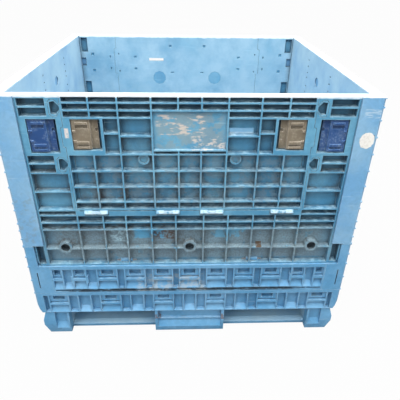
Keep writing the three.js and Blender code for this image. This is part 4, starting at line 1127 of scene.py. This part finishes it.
@dataclass
class PaintSpot:
    """Round dab of off-white marking paint on the right flange. Sizes in mm."""

    finish: bpy.types.Material
    centre: Point = (575.0, -571.5, 860.0)
    radius: Point = (25.0, 0.0, 28.0)
    thickness: float = 0.5
    corners: int = 32
    seed: int = 7

    def build(self) -> bpy.types.Object:
        """Model the dab with a ragged outline.

        Returns:
            The finished dab.
        """
        bpy.ops.object.select_all(action="DESELECT")
        bpy.ops.mesh.primitive_circle_add(
            vertices=self.corners,
            radius=MM,
            fill_type="NGON",
            location=[c * MM for c in self.centre],
            rotation=(math.pi / 2, 0, 0),
        )
        dab = bpy.context.object
        dab.name = "paint_spot"
        dab.scale = (self.radius[0], self.radius[2], 1.0)
        bpy.ops.object.transform_apply(location=True, rotation=True, scale=True)
        draw = random.Random(self.seed)
        middle = Vector(self.centre) * MM
        for vertex in dab.data.vertices:
            reach = 1.0 + draw.uniform(-0.06, 0.06)
            vertex.co = middle + (vertex.co - middle) * reach
        bpy.ops.object.mode_set(mode="EDIT")
        bpy.ops.mesh.select_all(action="SELECT")
        bpy.ops.mesh.extrude_region_move(TRANSFORM_OT_translate={"value": (0, -self.thickness * MM, 0)})
        bpy.ops.mesh.select_all(action="SELECT")
        bpy.ops.mesh.normals_make_consistent(inside=False)
        bpy.ops.object.mode_set(mode="OBJECT")
        bevel = dab.modifiers.new("rounding", "BEVEL")
        bevel.width = 0.3 * MM
        bevel.segments = 1
        bpy.ops.object.modifier_apply(modifier=bevel.name)
        bpy.ops.object.shade_smooth_by_angle(angle=math.radians(40))
        dab.data.materials.append(self.finish)
        return dab


@dataclass
class Studio:
    """Pale floor, soft lamps and the camera at the photograph's place."""

    focal_px: float = 416.3026
    eye: Point = (-19.22, -1818.92, 1366.53)
    right: Point = (0.99927772, -0.0350224, 0.0147467)
    forward: Point = (0.03768512, 0.86343482, -0.50305083)
    up: Point = (0.00488523, 0.50324322, 0.86413101)
    floor_size: float = 60.0
    lamps: tuple[tuple[str, Point, float, float], ...] = (
        ("overhead", (0.1, -1.5, 3.6), 1.8, 115.0),
        ("front_left", (-2.8, -3.6, 3.0), 2.0, 58.0),
        ("front_right", (3.0, -3.4, 3.0), 2.0, 30.0),
        ("behind", (0.6, 4.0, 3.2), 2.6, 95.0),
        ("left", (-4.2, 0.2, 2.6), 2.2, 48.0),
        ("right", (4.2, 0.2, 2.6), 2.2, 48.0),
    )

    def build(self) -> None:
        """Set up the whole studio."""
        self.camera()
        self.floor()
        self.world()
        for name, place, size, power in self.lamps:
            self.lamp(name, place, size, power)

    def camera(self) -> None:
        """Place the camera where the photograph was taken."""
        data = bpy.data.cameras.new("camera")
        data.sensor_width = SENSOR
        data.sensor_fit = "HORIZONTAL"
        data.lens = self.focal_px * SENSOR / IMAGE_SIZE
        data.clip_start = 0.05
        data.clip_end = 200.0
        camera = bpy.data.objects.new("camera", data)
        bpy.context.scene.collection.objects.link(camera)
        right, up, forward = Vector(self.right), Vector(self.up), Vector(self.forward)
        turned = Matrix((right, up, -forward)).transposed().to_4x4()
        camera.matrix_world = Matrix.Translation(Vector(self.eye) * MM) @ turned
        bpy.context.scene.camera = camera

    def floor(self) -> None:
        """Lay a pale floor that the camera sees nearly white, and that keeps the shadow."""
        bpy.ops.object.select_all(action="DESELECT")
        bpy.ops.mesh.primitive_plane_add(size=self.floor_size, location=(0, 0, -0.4 * MM))
        floor = bpy.context.object
        floor.name = "studio_floor"
        made, tree = blank_material("studio_paper")
        matt = add(tree, "ShaderNodeBsdfDiffuse", {"Color": (0.3, 0.3, 0.3, 1.0)})
        glow = add(tree, "ShaderNodeEmission", {"Color": (1.0, 1.0, 1.0, 1.0), "Strength": 1.0})
        rays = add(tree, "ShaderNodeLightPath")
        share = add(tree, MATH, {0: rays.outputs["Is Camera Ray"], 1: 0.97}, operation="MULTIPLY")
        mixed = add(
            tree,
            "ShaderNodeMixShader",
            {0: share.outputs["Value"], 1: matt.outputs["BSDF"], 2: glow.outputs["Emission"]},
        )
        add(tree, "ShaderNodeOutputMaterial", {"Surface": mixed.outputs["Shader"]})
        floor.data.materials.append(made)

    def world(self) -> None:
        """Light the object softly from all round, with white behind it."""
        world = bpy.data.worlds.new("studio_world")
        bpy.context.scene.world = world
        world.use_nodes = True
        tree = world.node_tree
        tree.nodes.clear()
        towards = add(tree, COORDS)
        axes = add(tree, SPLIT, {"Vector": towards.outputs["Generated"]})
        glow = add(
            tree,
            RANGE,
            {
                "Value": axes.outputs["Z"],
                "From Min": -0.1,
                "From Max": 0.8,
                "To Min": 0.16,
                "To Max": 0.85,
            },
        )
        rays = add(tree, "ShaderNodeLightPath")
        strength = add(
            tree,
            MATH,
            {0: glow.outputs["Result"], 1: rays.outputs["Is Camera Ray"]},
            operation="MAXIMUM",
        )
        sky = add(
            tree,
            "ShaderNodeBackground",
            {"Color": (1.0, 1.0, 1.0, 1.0), "Strength": strength.outputs["Value"]},
        )
        add(tree, "ShaderNodeOutputWorld", {"Surface": sky.outputs["Background"]})

    def lamp(self, name: str, place: Point, size: float, power: float) -> None:
        """Hang one square soft lamp that looks at the box.

        Args:
            name: Name of the lamp.
            place: Where it hangs, in metres.
            size: Length of its side, in metres.
            power: Its power, in watts.
        """
        data = bpy.data.lights.new(name, "AREA")
        data.size = size
        data.energy = power
        lamp = bpy.data.objects.new(name, data)
        bpy.context.scene.collection.objects.link(lamp)
        lamp.location = place
        aim = Vector((0.0, 0.0, 0.5)) - Vector(place)
        lamp.rotation_euler = aim.to_track_quat("-Z", "Y").to_euler()


@dataclass
class Moulding:
    """A moulded node of the frame with the finish that it gets."""

    node: str
    finish: bpy.types.Material

    def dress(self, nodes: dict[str, bpy.types.Object]) -> None:
        """Give the node its finish.

        Args:
            nodes: Nodes of the frame by name.
        """
        shown = nodes[self.node]
        if not shown.material_slots:
            shown.data.materials.append(self.finish)
        for slot in shown.material_slots:
            slot.material = self.finish


def hinge_chalk(level: float, height: float) -> list[Stain]:
    """Chalky wear of the four door hinges.

    Args:
        level: Height of its middle, in mm.
        height: Half its height, in mm.

    Returns:
        One stain for each hinge.
    """
    hinges = (-328, -77, 77, 328)
    return [Stain((x, -570, level), (42, 12, height), "#c3d6de", 0.65, 9, 0.7) for x in hinges]


@dataclass
class BulkBox:
    """The whole box: its mouldings, latches, hinge rods and paint."""

    frame: dict
    pieces: list[tuple[str, str]] = field(default_factory=list)

    def build(self) -> None:
        """Dress the frame and add the pieces that it lacks."""
        self.dress_mouldings()
        self.dress_rods()
        self.add_latches()
        self.add_paint()
        for piece, body in self.pieces:
            LOG.info("%s rides on %s", piece, body)

    def dress_mouldings(self) -> None:
        """Give each foam moulding its own weathered finish."""
        sky = WeatheredFoam(
            "hdpe_foam_sky_blue", colour="#5596c2", bleached="#70a8cf", grime="#56666e", grime_share=0.35,
            depth_share=0.25, dust="#8fb9d4",
            stains=(
                # Painted shadow, with some dirt, under the skirt at the top of the fork openings.
                Stain((0, -560, 100), (590, 60, 18), "#3a3530", 0.6, 9, 0.4, 2.0, True),
                Stain((-138, -560, 78), (22, 40, 16), "#6a4630", 0.8, 7, 0.55, 1.5),
                Stain((150, -560, 78), (22, 40, 16), "#7a5236", 0.7, 7, 0.5, 1.5),
                Stain((-30, -560, 232), (500, 40, 9), "#2c2f31", 0.8, 12, 0.75, 3.0),
                Stain((-70, -570, 262), (150, 30, 40), "#a9b3b6", 0.55, 26, 0.5, 1.6),
            ),
        )
        pale = WeatheredFoam(
            "hdpe_foam_pale_blue", colour="#6ea5cf", bleached="#86b3d2", grime="#64788a", grime_share=0.3,
            worn="#b9d3e3", rim_level=992.0, inside="#b2d2e2",
            stains=(
                Stain((577, -571, 950), (30, 12, 16), "#bcd2e0", 0.6, 5, 0.5, 6.0),
                Stain((593, -571, 871), (6, 14, 9), "#2d5377", 0.95, 30, 0.95),
                Stain((-573, -571, 560), (36, 12, 120), "#7d8b96", 0.35, 18, 0.4),
            ),
        )
        grey = WeatheredFoam(
            "hdpe_foam_grey_blue", colour="#478aaf", bleached="#64a0be", grime="#57656b", grime_share=0.75,
            worn="#a3cbdd", dust="#aed4e4", rim_level=988.0, inside="#9abdd0",
            stains=(
                Stain((0, -560, 440), (570, 23, 80), "#8b999d", 0.62, 38, 0.85, 1.0),
                Stain((0, -560, 440), (570, 23, 80), "#5d676a", 0.55, 5, 0.5, 1.0),
                Stain((-262, -560, 478), (42, 23, 36), "#a6c9d8", 0.7, 13, 0.5),
                Stain((-150, -560, 486), (60, 23, 30), "#57add8", 0.85, 22, 0.7),
                Stain((150, -560, 486), (60, 23, 30), "#62aed2", 0.75, 22, 0.6),
                Stain((-260, -560, 470), (300, 23, 40), "#5d5650", 0.65, 17, 0.5, 1.0, True),
                Stain((-96, -560, 478), (44, 23, 26), "#5a4336", 0.85, 11, 0.55),
                Stain((260, -560, 434), (12, 23, 8), "#5b452f", 0.9, 8, 0.8),
                Stain((0, -560, 385), (570, 23, 34), "#77878d", 0.6, 26, 0.6, 1.0, True),
                # Painted shade in the bores of the three round bosses.
                Stain((0, -560, 434), (20, 23, 20), "#1d2a33", 0.8, 60, 1.0, 1.0, True),
                Stain((-458, -560, 434), (20, 23, 20), "#1d2a33", 0.8, 60, 1.0, 1.0, True),
                Stain((458, -560, 434), (20, 23, 20), "#1d2a33", 0.8, 60, 1.0, 1.0, True),
                Stain((-468, -560, 690), (66, 23, 62), "#44403b", 0.75, 20, 0.72, 1.0, True),
                Stain((468, -560, 690), (66, 23, 62), "#4b4741", 0.6, 20, 0.6, 1.0, True),
                Stain((-300, -560, 528), (260, 23, 18), "#4a443d", 0.6, 14, 0.5, 2.0, True),
                *hinge_chalk(583, 10),
            ),
        )
        door = WeatheredFoam(
            "hdpe_foam_grey_blue_door", colour="#4a8db2", bleached="#68a4c1", grime="#566368",
            grime_share=0.75, worn="#a3cbdd", dust="#aed4e4", rim_level=988.0, inside="#9abdd0",
            stains=(
                Stain((0, -560, 886), (120, 23, 68), "#8d9a9a", 0.55, 40, 0.62, 1.4),
                Stain((-20, -560, 905), (96, 23, 38), "#d8c9bb", 0.85, 15, 0.34, 3.2),
                Stain((60, -560, 845), (60, 23, 26), "#ddd0c4", 0.8, 9, 0.42, 2.4),
                Stain((-255, -560, 655), (135, 23, 25), "#4a3a2c", 0.95, 15, 0.72, 1.3, True),
                Stain((20, -560, 655), (140, 23, 25), "#3d3a36", 0.8, 15, 0.55, 1.3, True),
                Stain((0, -560, 716), (398, 23, 28), "#4b5254", 0.7, 14, 0.5, 1.0, True),
                Stain((0, -560, 700), (398, 23, 110), "#7c8f98", 0.45, 34, 0.5),
                Stain((-175, -560, 845), (56, 23, 24), "#464743", 0.7, 14, 0.6, 1.0, True),
                Stain((-390, -562, 881), (7, 12, 18), "#dcd3ce", 0.9, 6, 0.75),
                *hinge_chalk(585, 10),
            ),
        )
        finishes = {
            "base": sky, "left_riser": sky, "right_riser": sky, "front_rail": sky, "back_rail": sky,
            "left_wall": pale, "right_wall": pale,
            "front_wall": grey, "back_wall": grey,
            "front_door": door, "back_door": door,
        }
        made = {finish.name: finish.material() for finish in set(finishes.values())}
        for node, finish in finishes.items():
            Moulding(node, made[finish.name]).dress(self.frame["nodes"])
            self.pieces.append((node, "its own body"))

    def dress_rods(self) -> None:
        """Give every hinge rod its drawn steel."""
        steel = DrawnSteel("drawn_steel_rod").material()
        for node in self.frame["nodes"]:
            if "_pin_" in node:
                Moulding(node, steel).dress(self.frame["nodes"])
                self.pieces.append((node, "its own body"))

    def add_latches(self) -> None:
        """Model both kinds of latch once and copy them to the four places of each."""
        navy = LatchNylon(
            "glass_filled_nylon_navy", colour="#25538f", shade="#183a6b", dust="#8fa3b3", worn="#7ba6d6"
        ).material()
        taupe = LatchNylon(
            "glass_filled_nylon_taupe", colour="#837865", shade="#6e6455", dust="#a9a293", worn="#d9d0c3"
        ).material()
        kinds = (
            ("wall", Latch("wall_latch_master", 509.5, 815.5, 557.0, navy, "navy_plastic")),
            ("door", Latch("door_latch_master", 373.5, 824.5, 414.0, taupe, "taupe_plastic")),
        )
        for kind, latch in kinds:
            master = latch.build()
            for end in End:
                for side in Side:
                    node = f"{end.label}_{kind}_latch_{side.label}"
                    made = copy_to(master, f"{node}_moulding", side is Side.RIGHT, end.turn)
                    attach(made, node)
                    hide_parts(node)
                    self.pieces.append((made.name, node))
            bpy.data.objects.remove(master)

    def add_paint(self) -> None:
        """Add the dab of marking paint."""
        spot = PaintSpot(MarkingPaint("marking_paint_off_white").material()).build()
        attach(spot, "body")
        self.pieces.append((spot.name, "body"))


def main() -> None:
    """Load the frame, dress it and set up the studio."""
    logging.basicConfig(level=logging.INFO, format="%(name)s: %(message)s")
    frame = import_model()
    BulkBox(frame).build()
    Studio().build()
    bpy.context.scene.view_settings.view_transform = "Standard"


if __name__ == "__main__":
    main()
